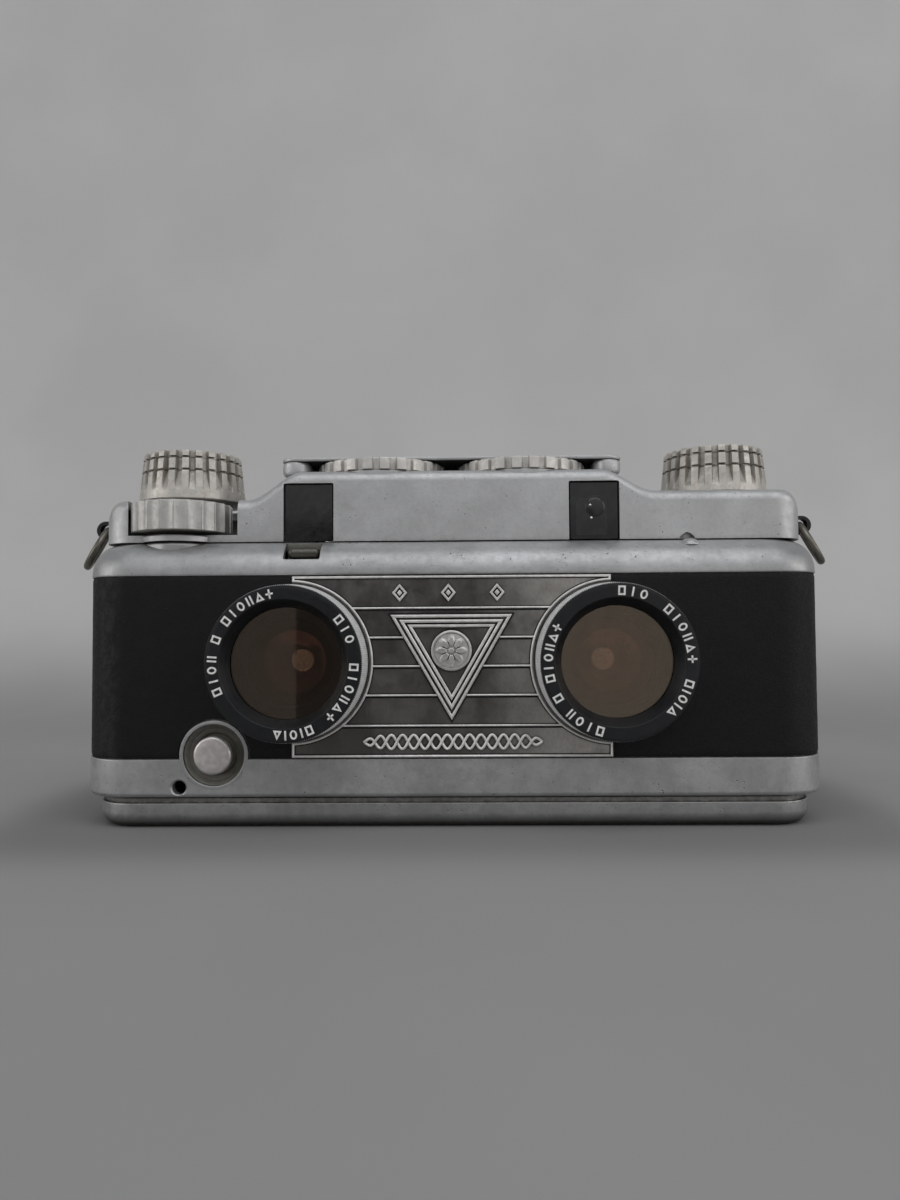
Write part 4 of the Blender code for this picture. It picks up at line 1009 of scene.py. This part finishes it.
def toothed(x, profile):
    """A ring round the filter with fine teeth cut into its outer side."""
    loops = []
    for r, h in profile:
        loop = []
        for i in range(TEETH * 4):
            a = 2 * math.pi * i / (TEETH * 4)
            cut = r - (TOOTH if i % 4 > 1 and r > FILTER_R - 0.3 else 0.0)
            loop.append((x + cut * math.cos(a), -h, LENS_Z + cut * math.sin(a)))
        loops.append(loop)
    return loft(loops, ring=True)


SIGN_R, SIGN_H, SIGN_W, STROKE = 14.85, 1.0, 0.78, 0.40     # half height and half width of a sign
SIGN_GROUPS = ((143, 6, 8.4), (160, 1, 8.4), (203, 4, 9.0), (38, 3, 9.0), (-3, 6, 9.0), (-68, 5, 6.6))


def sign_outlines(kind):
    """Closed outlines (across, outwards) of one plain sign, and whether they are hollow."""
    h, w, half = SIGN_H, SIGN_W, STROKE / 2
    bar = oblong(-half, -h, half, h)
    if kind == "bar":
        return [bar], False
    if kind == "twin":
        return [[(u + shift, v) for u, v in bar] for shift in (-0.42, 0.42)], False
    if kind == "cross":
        return [bar, oblong(-w, -half, w, half)], False
    if kind == "ring":
        return [[(u * w / h, v) for u, v in circle(0, 0, h, 20)]], True
    if kind == "box":
        return [oblong(-w, -h, w, h)], True
    return [[(-w - 0.15, -h), (w + 0.15, -h), (0.0, h)]], True


def sign(cx, degrees, kind, face):
    """A filled sign that stands along a spoke of the filter's ring."""
    a = math.radians(degrees)
    outwards, across = Vector((math.cos(a), math.sin(a))), Vector((math.sin(a), -math.cos(a)))
    middle = Vector((cx, LENS_Z)) + outwards * SIGN_R
    outlines, hollow = sign_outlines(kind)
    parts = []
    for outline in outlines:
        placed = [tuple(middle + across * u + outwards * v) for u, v in outline]
        if hollow:
            parts.append(ridge(placed, STROKE, face + 0.25, face - 0.03, bevel=0.03))
        else:
            parts.append(plate(placed, face + 0.25, face - 0.03, "Y", 0.03, False))
    return parts


def signs(cx, turn, face):
    """Groups of plain signs round the filter's face, in place of its lettering."""
    kinds = ("box", "bar", "ring", "twin", "wedge", "cross")
    parts = []
    for start, count, pitch in SIGN_GROUPS:
        for i in range(count):
            kind = "bar" if pitch < 7 and i % 2 else kinds[i % len(kinds)]
            parts += sign(cx, start + turn - pitch * i, kind, face)
    return joined(parts)


def lens_unit(side, tag, turn):
    x = side * LENS_X
    body = "filter_" + tag
    face = [(15.5, 18.4), (14.9, 18.4), (14.9, 21.8), (13.35, 21.8), (13.3, 22.75), (12.2, 22.75),
            (GLASS_R, 22.82), (GLASS_R, 22.95), (12.55, 24.3), (13.3, 25.45), (13.5, FILTER_FRONT),
            (15.9, FILTER_FRONT), (15.9, RIM_LOW), (15.5, RIM_LOW)]
    edge = [(15.6, RIM_LOW + 0.02), (FILTER_R, RIM_LOW + 0.02), (FILTER_R, 25.5), (16.38, 25.68),
            (16.2, 25.72), (15.6, 25.72)]
    side_wall = [(15.6, 18.1), (16.3, 17.95), (16.8, 17.95), (16.98, 18.15), (16.95, 18.9),
                 (FILTER_R, RIM_LOW), (15.6, RIM_LOW)]
    front = [turned(face, (x, 0, LENS_Z), "-Y", 128, True, 0.12), toothed(x, edge)]
    piece("filter_face_" + tag, joined(front), FILTER_BLACK, body,
          ["filter_ring_" + tag])
    piece("filter_knurl_" + tag, toothed(x, side_wall), KNURL_METAL, body, smooth=28)
    piece("filter_marks_" + tag, signs(x, turn, -FILTER_FRONT), WHITE_PAINT, body)
    pane = [(0, 22.45), (12.5, 22.45), (12.9, 22.45), (13.0, 22.3), (13.0, 21.95), (12.9, 21.85),
            (0, 21.85)]
    piece("filter_pane_" + tag, turned(pane, (x, 0, LENS_Z), "-Y", 96, soft=0.04),
          FILTER_GLASS, body, ["filter_glass_" + tag])

    barrel = [(14.6, 21.5), (14.6, 10.3), (11.0, 10.3), (11.0, 3.0), (9.3, 3.0), (9.3, 8.0),
              (7.4, 9.0), (7.4, 13.0), (9.6, 14.2), (9.6, 17.6)]
    for k in range(6):
        r, h = 9.8 + 0.46 * k, 17.7 + 0.5 * k
        barrel += [(r, h), (r + 0.16, h), (r + 0.16, h + 0.5)]
    barrel += [(12.7, 20.7), (12.9, 21.5)]
    piece("barrel_" + tag, turned(barrel, (x, 0, LENS_Z), "-Y", 96, True, 0.06),
          BARREL_BLACK, "lens_carriage", ["lens_barrel_" + tag])
    front = [(0, 17.4), (2.0, 17.33), (4.5, 17.0), (7.0, 16.4), (9.1, 15.6), (9.2, 15.4), (9.2, 14.6),
             (9.0, 14.5), (0, 14.9)]
    piece("front_element_" + tag, turned(front, (x, 0, LENS_Z), "-Y", 96, soft=0.6),
          LENS_GLASS, "lens_carriage", ["lens_front_" + tag], 60)
    inner = [(0, 13.4), (1.2, 13.2), (2.4, 12.6), (3.4, 11.7), (4.2, 10.5), (4.2, 9.5), (0, 9.5)]
    piece("inner_element_" + tag, turned(inner, (x, 0, LENS_Z), "-Y", 64, soft=0.5),
          INNER_GLASS, "lens_carriage", smooth=60)
    iris = [(7.35, 13.6), (6.9, 13.6), (4.9, 11.9), (4.9, 11.4), (7.35, 11.4)]
    blades = [(9.25, 4.0), (9.25, 3.5), (2.6, 3.5), (2.6, 4.0)]
    dark = [turned(iris, (x, 0, LENS_Z), "-Y", 64, True, 0.05),
            turned(blades, (x, 0, LENS_Z), "-Y", 64, True, 0.05)]
    piece("iris_plate_" + tag, joined(dark), MATT_BLACK, "lens_carriage")
    # painted light: a glowing disc deep in the lens
    pupil = [(0, 4.0), (2.65, 3.9), (2.65, 3.6), (0, 3.6)]
    piece("pupil_" + tag, turned(pupil, (x, 0, LENS_Z), "-Y", 48),
          PUPIL, "lens_carriage", smooth=60)


# ---- knobs, wheel and dials --------------------------------------------------------------
def grip(centre, rows, count, phases, grooved):
    """A gripped solid: each row is (height, tile radius, groove radius, grime and painted shade)."""
    loops, hollow_grime_and_shade = [], []
    for z, tile, floor, grime_and_shade in rows:
        loop = []
        for i in range(count):
            for phase in phases:
                lift = grooved(phase)
                a = 2 * math.pi * (i + phase) / count
                r = max(TINY, floor + (tile - floor) * lift)
                loop.append((centre[0] + r * math.cos(a), centre[1] + r * math.sin(a), z))
                # groove floors take grime and painted shade, more the deeper they lie
                hollow_grime_and_shade.append(max(grime_and_shade, (1 - lift) * 0.42 if tile - floor > 0.05 else 0.0))
        loops.append(loop)
    verts, faces = skin(loops)
    return mesh_of(verts, faces, hollow_grime_and_shade)


def knob(name, side, hub, low, body, stands_for):
    """Tapered knob: wide upright grooves cut by two steps into three rows of tiles."""
    def taper(z):
        return KNOB_TOP_R + (KNOB_BASE_R - KNOB_TOP_R) * (KNOB_TOP - z) / (KNOB_TOP - KNOB_LOW)

    def floor(z):
        return min(taper(z), 10.5 + 2.15 * max(0.0, 81.4 - z) / 4.8)
    # the last figure of each row is grime and painted shade: on the underside, in the slits and in the
    # top recess
    rows = [(83.8, 0, 0, 0), (83.8, BORE_R, BORE_R, 0), (hub, BORE_R, BORE_R, 0), (hub, 6.0, 6.0, 0),
            (low, 6.0, 6.0, 0.5), (low, 12.4, 12.4, 0.3), (low + 0.06, 12.65, 12.65, 0.1),
            (low + 0.25, KNOB_BASE_R, KNOB_BASE_R, 0), (76.35, taper(76.35), taper(76.35), 0)]
    marks_at = [76.7, 77.4, 78.6, 79.8, 80.7, 81.05]
    rows += [(z, taper(z), floor(z), 0.0) for z in marks_at]
    for slit, after in ((81.3, (82.0, 83.2, 83.95)), (84.35, (84.8, 85.5))):
        for up, cut, grime_and_shade in ((-0.12, 0.05, 0.2), (0, 0.62, 1.0), (0.3, 0.62, 1.0), (0.42, 0.02, 0.3)):
            rows.append((slit + up, taper(slit) - cut, floor(slit), grime_and_shade))
        rows += [(z, taper(z), floor(z), 0.0) for z in after]
    rows += [(85.95, KNOB_TOP_R - 0.02, 10.45, 0), (86.15, KNOB_TOP_R - 0.12, 10.4, 0),
             (KNOB_TOP, 11.4, 10.35, 0), (KNOB_TOP, 10.3, 10.3, 0), (86.1, 9.9, 9.9, 0),
             (85.3, 9.4, 9.4, 0.4), (85.0, 9.1, 9.1, 0.4), (85.0, 6.5, 6.5, 0), (84.9, 6.3, 6.3, 0.6),
             (84.9, 5.9, 5.9, 0.6), (85.0, 5.7, 5.7, 0), (85.05, 0, 0, 0)]
    phases = (0.0, 0.10, 0.20, 0.30, 0.32, 0.35, 0.45, 0.60, 0.75, 0.85, 0.88, 0.90)

    def lift(phase):
        return smooth(0.20, 0.25, min(abs(phase - 0.1), abs(phase - 1.1)))
    mesh = grip((side * KNOB_X, KNOB_Y), rows, 24, phases, lift)
    piece(name, mesh, KNOB_METAL, body, stands_for, 30)


def wheel():
    phases = (0.0, 0.035, 0.06, 0.10, 0.18, 0.29, 0.42, 0.58, 0.71, 0.82, 0.90, 0.94, 0.965)

    def lift(phase):
        if min(phase, 1 - phase) < 0.04:
            return 1.0
        return 0.80 - 0.62 * math.sin(math.pi * phase)
    low, high, r = WHEEL_LOW, WHEEL_TOP, WHEEL_R
    # the last figure of each row is grime and painted shade: on the underside and in the top recess
    rows = [(low, 0, 0, 0.3), (low, 9.6, 9.6, 0.3), (low, r - 0.25, r - 0.9, 0.2),
            (low + 0.04, r - 0.1, r - 0.8, 0), (low + 0.14, r, r - 0.75, 0), (low + 2.0, r, r - 0.75, 0),
            (high - 2.0, r, r - 0.75, 0), (high - 0.4, r, r - 0.75, 0),
            (high - 0.14, r - 0.12, r - 0.8, 0), (high, r - 0.45, r - 0.95, 0),
            (high, 9.0, 9.0, 0), (high - 0.25, 8.7, 8.7, 0.4),
            (high - 0.25, 4.6, 4.6, 0), (high - 0.05, 4.3, 4.3, 0.3), (high - 0.05, 0, 0, 0)]
    mesh = grip(WHEEL, rows, 22, phases, lift)
    piece("fluted_wheel", mesh, WHEEL_METAL, "focus", ["focus_wheel"], 30)


def dial(side, tag, body, stands_for, count):
    x = side * DIAL_X
    phases = (0.0, 0.09, 0.18, 0.20, 0.23, 0.36, 0.5, 0.64, 0.77, 0.80, 0.82, 0.91)

    def lift(phase):
        valley = smooth(0.18, 0.23, min(phase, 1 - phase))
        return valley * (0.86 + 0.14 * math.sin(math.pi * phase))
    low, high, r = DIAL_LOW, DIAL_TOP, DIAL_R
    # the last figure of each row is grime and painted shade: on the underside and in the groove on top
    rows = [(72.0, 0, 0, 0), (72.0, 2.0, 2.0, 0), (low, 2.0, 2.0, 0), (low, 13.8, 13.8, 0.3),
            (low + 0.05, r - 0.35, r - 0.85, 0.2), (low + 0.25, r, r - 0.75, 0),
            (high - 0.35, r, r - 0.75, 0), (high - 0.12, r - 0.12, r - 0.8, 0),
            (high, r - 0.4, r - 0.9, 0), (high, 13.6, 13.6, 0), (high - 0.08, 13.5, 13.5, 0.5),
            (high - 0.08, 13.2, 13.2, 0.5), (high, 13.1, 13.1, 0), (high, 0, 0, 0)]
    piece("dial_" + tag, grip((x, DIAL_Y), rows, 24, phases, lift), DIAL_METAL, body,
          stands_for, 30)
    seat = [(12.5, HUMP_TOP + 0.04), (r - 0.4, HUMP_TOP + 0.04), (r - 0.3, HUMP_TOP - 0.05),
            (r - 0.3, 78.0), (12.5, 78.0)]
    piece("dial_seat_" + tag, turned(seat, (x, DIAL_Y, 0), "Z", 96, True, 0.03),
          COVER_ALLOY, "camera")
    ticks = []
    for i in range(count):
        a = 2 * math.pi * i / count
        long = 1.0 if i % 4 == 0 else 0.55
        spoke = Vector((math.cos(a), math.sin(a)))
        across = Vector((-spoke.y, spoke.x)) * 0.11
        inner, outer = spoke * (12.4 - long), spoke * 12.7
        corners = (inner - across, outer - across, outer + across, inner + across)
        outline = [tuple(Vector((x, DIAL_Y)) + p) for p in corners]
        ticks.append(plate(outline, high - 0.1, high + 0.02, "Z", 0.02, False))
    piece("dial_marks_" + tag, joined(ticks), BLACK_METAL, body)


def bridge():
    front, rear = BRIDGE_FRONT, BRIDGE_REAR
    corners = ((FOOT_X, front + FOOT_R, 270), (FOOT_X, rear - FOOT_R, 0),
               (-FOOT_X, rear - FOOT_R, 90), (-FOOT_X, front + FOOT_R, 180))
    outline = [p for cx, cy, start in corners for p in arc(cx, cy, FOOT_R, start, start + 90, 10)]
    parts = [plate(outline, BRIDGE_LOW, BRIDGE_TOP, "Z", 0.28)]
    for side in (-1, 1):
        x, r = side * FOOT_X, FOOT_R - 0.05
        foot = arc(x, front + FOOT_R, r, 180, 360, 20) + arc(x, rear - FOOT_R, r, 0, 180, 20)
        parts.append(plate(foot, HUMP_TOP + 0.1, BRIDGE_LOW + 0.2, "Z", 0.9))
    piece("bridge_plate", joined(parts), COVER_ALLOY, "camera", ["dial_bridge"])
    # painted shade: a black sheet under the bridge and a black block at its back darken the gap; the
    # post is a real part
    shade_sheet = plate(shrunk(outline, 0.5), BRIDGE_LOW - 0.08, BRIDGE_LOW + 0.1, "Z", 0.02)
    post = turned([(0, HUMP_TOP + 0.1), (1.4, HUMP_TOP + 0.1), (1.4, BRIDGE_LOW), (0, BRIDGE_LOW)],
                  (0, DIAL_Y, 0), "Z", 32)
    shade = brick((-FOOT_X, rear - 0.6, BRIDGE_LOW - 0.3), (FOOT_X, rear - 0.2, BRIDGE_LOW + 0.1))
    piece("bridge_lining", joined([shade_sheet, post, shade]), MATT_BLACK, "camera")
    screws = []
    for x, y in ((-FOOT_X, DIAL_Y), (FOOT_X, DIAL_Y), (0.0, DIAL_Y)):
        profile = [(0, BRIDGE_TOP), (1.5, BRIDGE_TOP), (1.6, BRIDGE_TOP - 0.2), (1.6, 83.0), (0, 83.0)]
        head = turned(profile, (x, y, 0.12), "Z", 40, soft=0.1)
        slot = brick((x - 2, y - 0.2, BRIDGE_TOP - 0.25), (x + 2, y + 0.2, BRIDGE_TOP + 1))
        screws.append(carve(head, [slot]))
    piece("bridge_screws", joined(screws), STEEL, "camera")


# ---- small fittings ------------------------------------------------------------------------
def release():
    x, z = BUTTON
    cup = [(RIM_R, 17.52), (RIM_R, 14.0), (2.4, 14.0), (2.4, 14.9), (6.3, 15.0), (DISH_R, 15.6),
           (DISH_R, 17.48), (6.85, 17.56)]
    piece("button_rim", turned(cup, (x, 0, z), "-Y", 128, True, 0.12), ALLOY, "camera",
          ["button_escutcheon"])
    dish = [(2.45, 14.6), (4.5, 14.6), (6.2, 15.6), (6.62, 16.4), (6.64, 16.9), (6.5, 16.8), (5.6, 16.0),
            (4.65, 15.66), (4.4, 15.1), (2.45, 15.06)]
    piece("button_dish", turned(dish, (x, 0, z), "-Y", 128, True, 0.1),
          DISH_METAL, "camera")
    stem = [(0, 19.0), (2.5, 18.98), (BUTTON_R - 0.35, 18.85), (BUTTON_R, 18.45), (BUTTON_R, 17.2),
            (2.0, 17.2), (2.0, 9.5), (0, 9.5)]
    piece("button", turned(stem, (x, 0, z), "-Y", 96, soft=0.3), BUTTON_METAL, "release",
          ["shutter_button"])
    x, z = SOCKET
    bush = [(2.4, 15.2), (2.4, 10.0), (SOCKET_R, 10.0), (SOCKET_R, 15.2)]
    piece("socket_bush", turned(bush, (x, 0, z), "-Y", 40, True, 0.1), BLACK_METAL, "camera",
          ["cable_socket"])


def windows():
    half = WINDOW_W / 2 - 0.3
    for name, side in (("viewfinder_window", -1), ("rangefinder_window", 1)):
        x = side * WINDOW_X
        outline = oblong(x - half, COVER_LOW + 0.1, x + half, WINDOW_TOP - 0.3)
        outline = rounded(outline, 0.3, 3, True)
        piece(name + "_pane", plate(outline, -9.8, -10.5, "Y", 0.12), DARK_GLASS, "camera",
              [name])
    hood = rounded([(28.1, 63.9), (35.3, 63.9), (35.3, 71.2), (34.9, 72.6), (33.6, 73.2), (31.8, 73.0),
                    (31.0, 72.5), (29.0, 72.4), (28.1, 71.4)], 0.7, 4, True)
    piece("finder_hood", plate(hood, -10.3, -10.58, "Y", 0.13, False), HOOD_GLASS, "camera")
    lens = [(0, 10.95), (1.0, 10.9), (1.9, 10.75), (2.35, 10.5), (2.35, 10.3), (0, 10.3)]
    piece("finder_lens", turned(lens, (32.6, 0, 70.4), "-Y", 64, soft=0.2), HOOD_GLASS, "camera")
    pin = [(0, 10.95), (0.28, 10.85), (0.36, 10.5), (0, 10.5)]
    dots = [turned(pin, (dx, 0, dz), "-Y", 24, soft=0.1) for dx, dz in ((31.7, 68.0), (31.5, 70.9))]
    piece("finder_pins", joined(dots), CHROME, "camera")
    vial = [(0, NOTCH[0] + 0.5), (0.8, NOTCH[0] + 0.55), (1.25, NOTCH[0] + 1.3), (1.25, NOTCH[1] - 1.2),
            (0.9, NOTCH[1] - 0.55), (0, NOTCH[1] - 0.5)]
    piece("vial", along_x(vial, -13.7, 60.15, 40, 0.4), VIAL_GLASS, "camera",
          ["level_vial"], 60)
    trough = rounded(oblong(NOTCH[0] + 0.15, 58.7, NOTCH[1] - 0.15, 62.4), 0.4, 3, True)
    piece("vial_trough", plate(trough, -12.1, -12.45, "Y", 0.1),
          DISH_METAL, "camera")


def along_x(profile, y, z, steps, soft):
    """A profile of (radius, x) turned about a line along X."""
    rows = []
    for r, x in rounded(profile, soft, 3):
        rows.append([(x, y + max(r, TINY) * math.cos(a), z + max(r, TINY) * math.sin(a))
                     for a in (2 * math.pi * i / steps for i in range(steps))])
    return loft(rows)


def rear_fittings():
    x, z = -WINDOW_X, 69.5
    ring = [(6.2, -22.65), (6.2, -25.3), (5.5, -25.75), (4.4, -25.75), (3.5, -24.6), (3.4, -19.0),
            (4.9, -19.0), (4.9, -22.65)]
    piece("eyepiece_rim", turned(ring, (x, 0, z), "-Y", 96, True, 0.2), BLACK_METAL, "camera",
          ["eyepiece_ring"])
    bush = [(0, 5.2), (8.0, 5.2), (8.0, 0.35), (7.7, 0.0), (3.6, 0.0), (3.2, 0.4)]
    for k in range(7):
        low = 0.5 + 0.6 * k
        bush += [(3.2, low), (3.45, low + 0.3)]
    bush += [(3.2, 4.7), (0, 4.7)]
    piece("tripod_bushing", turned(bush, (0, 0, 0), "Z", 64, soft=0.1), STEEL, "back",
          ["tripod_bush"])
    for side, tag in ((-1, "left"), (1, "right")):
        kx = side * KEY_X
        profile = [(0, 2.6), (8.0, 2.6), (8.0, 1.2), (7.7, 0.9), (6.9, 0.9), (6.7, 1.05), (0, 1.05)]
        disc = turned(profile, (kx, 0, 0), "Z", 96, soft=0.12)
        grip_bar = rounded(oblong(kx - 6.5, -1.3, kx + 6.5, 1.3), 1.1, 5, True)
        handle = plate(grip_bar, 1.5, 0.15, "Z", 0.35, False)
        cam = plate(rounded(oblong(kx - 9, -2, kx + 9, 2), 0.8, 3, True), 2.4, 3.8, "Z", 0.2)
        key = carve(carve(disc, [handle], "UNION"), [cam], "UNION")
        piece("turn_key_" + tag, key, STEEL, "key_" + tag, ["lock_key_" + tag])


def straps():
    for side, tag in ((-1, "left"), (1, "right")):
        root, tip = COVER_HALF + 0.05, 2.2
        curve = arc(LUG_TIP - tip, LUG_Z, tip, -90, 90, 20)
        outline = [(root, LUG_Z - 2.2)] + curve + [(root, LUG_Z + 2.2)]
        outline = [(side * a, b) for a, b in outline]
        if side < 0:
            outline = outline[::-1]
        lug = plate(outline, LUG_Y - 1.0, LUG_Y + 1.0, "Y", 0.25)
        hole_x = side * LUG_HOLE_X
        hole = rod(LUG_HOLE_R, (hole_x, LUG_Y - 3, LUG_Z), (hole_x, LUG_Y + 3, LUG_Z), 40)
        piece("lug_" + tag, carve(lug, [hole]), BLACK_METAL, "camera",
              ["strap_lug_" + tag])
        down = Vector((side * math.sin(RING_LEAN), 0, -math.cos(RING_LEAN)))
        centre = Vector((hole_x, LUG_Y, LUG_Z)) + down * RING_R
        rearward = Vector((0, 1, 0))
        across = rearward * math.cos(RING_TURN) + down.cross(rearward) * side * math.sin(RING_TURN)
        ring = torus(centre, RING_R, RING_WIRE, down, across)
        piece("split_ring_" + tag, ring, RING_STEEL, "strap_" + tag,
              ["strap_ring_" + tag], 60)


# ---- studio ----------------------------------------------------------------------------------
def studio():
    """A pale sweep that rises well behind the object, soft lights and a dim room."""
    near, far, rise, half = -1400.0, 420.0, 1300.0, 1600.0
    bend = 240.0
    angles = [math.radians(9 * i) for i in range(1, 11)]
    section = [(near, 0.0), (far - bend, 0.0)]
    section += [(far - bend + bend * math.sin(a), bend - bend * math.cos(a)) for a in angles]
    section += [(far, rise)]
    verts = [(x, y, z) for x in (-half, half) for y, z in section]
    count = len(section)
    faces = [(i, i + 1, count + i + 1, count + i) for i in range(count - 1)]
    mesh = mesh_of(verts, faces)
    mesh.materials.append(studio_cloth("pale_sweep"))
    mesh.shade_smooth()
    sweep = bpy.data.objects.new("sweep", mesh)
    bpy.context.scene.collection.objects.link(sweep)

    world = bpy.data.worlds.new("room")
    world.use_nodes = True
    world.node_tree.nodes["Background"].inputs["Color"].default_value = (0.92, 0.96, 1.0, 1.0)
    world.node_tree.nodes["Background"].inputs["Strength"].default_value = 0.26
    bpy.context.scene.world = world
    area_light("window", (0.10, -0.50, 0.95), (0, 0, 0.03), (1.1, 0.8), 3.2, (0.97, 0.98, 1.0))
    area_light("front_box", (0.2, -1.6, 0.80), (0, 0, 0.05), (2.2, 1.2), 3.0, (1.0, 0.98, 0.96))
    for side, name in ((-1, "fill_left"), (1, "fill_right")):
        area_light(name, (0.95 * side, -0.40, 0.27), (0, 0, 0.03), (0.8, 0.8), 2.6, (1.0, 0.97, 0.94))
    cards()
    view = bpy.context.scene.view_settings
    view.view_transform, view.look = "Standard", "None"
    view.exposure, view.gamma = 0.0, 1.0


def cards():
    """Cards by the camera, seen only as reflections: they grade the glass and the plate."""
    low, high, y = 1.0, 95.0, -212.0
    for name, left, right, level in (("left", -150.0, -71.0, 0.17), ("middle", -71.0, 44.0, 0.060),
                                     ("right", 44.0, 150.0, 0.37)):
        corners = [(left, y, low), (right, y, low), (right, y, high), (left, y, high)]
        mesh = mesh_of(corners, [(0, 1, 2, 3)])
        mesh.materials.append(glow("card_" + name, (1.0, 0.98, 0.95), level))
        card = bpy.data.objects.new("card_" + name, mesh)
        bpy.context.scene.collection.objects.link(card)
        card.visible_camera = card.visible_diffuse = card.visible_shadow = False


# ---- assembly --------------------------------------------------------------------------------
place_camera()
studio()
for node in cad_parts.values():
    for index, slot in enumerate(node.material_slots):
        base = slot.material.name.split(".")[0] if slot.material else "steel"
        node.data.materials[index] = CAD_FINISHES.get(base, STEEL)
casting()
back()
cover()
leathers()
plate_group()
lens_unit(-1, "left", 0)
lens_unit(1, "right", 50)
knob("grip_left", -1, DECK_LEFT + 0.3, LEFT_SKIRT, "wind", ["wind_knob"])
knob("grip_right", 1, DECK_RIGHT + 0.3, KNOB_LOW, "rewind", ["rewind_knob"])
wheel()
dial(-1, "left", "speed", ["speed_dial"], 24)
dial(1, "right", "aperture", ["aperture_dial"], 32)
bridge()
release()
windows()
rear_fittings()
straps()
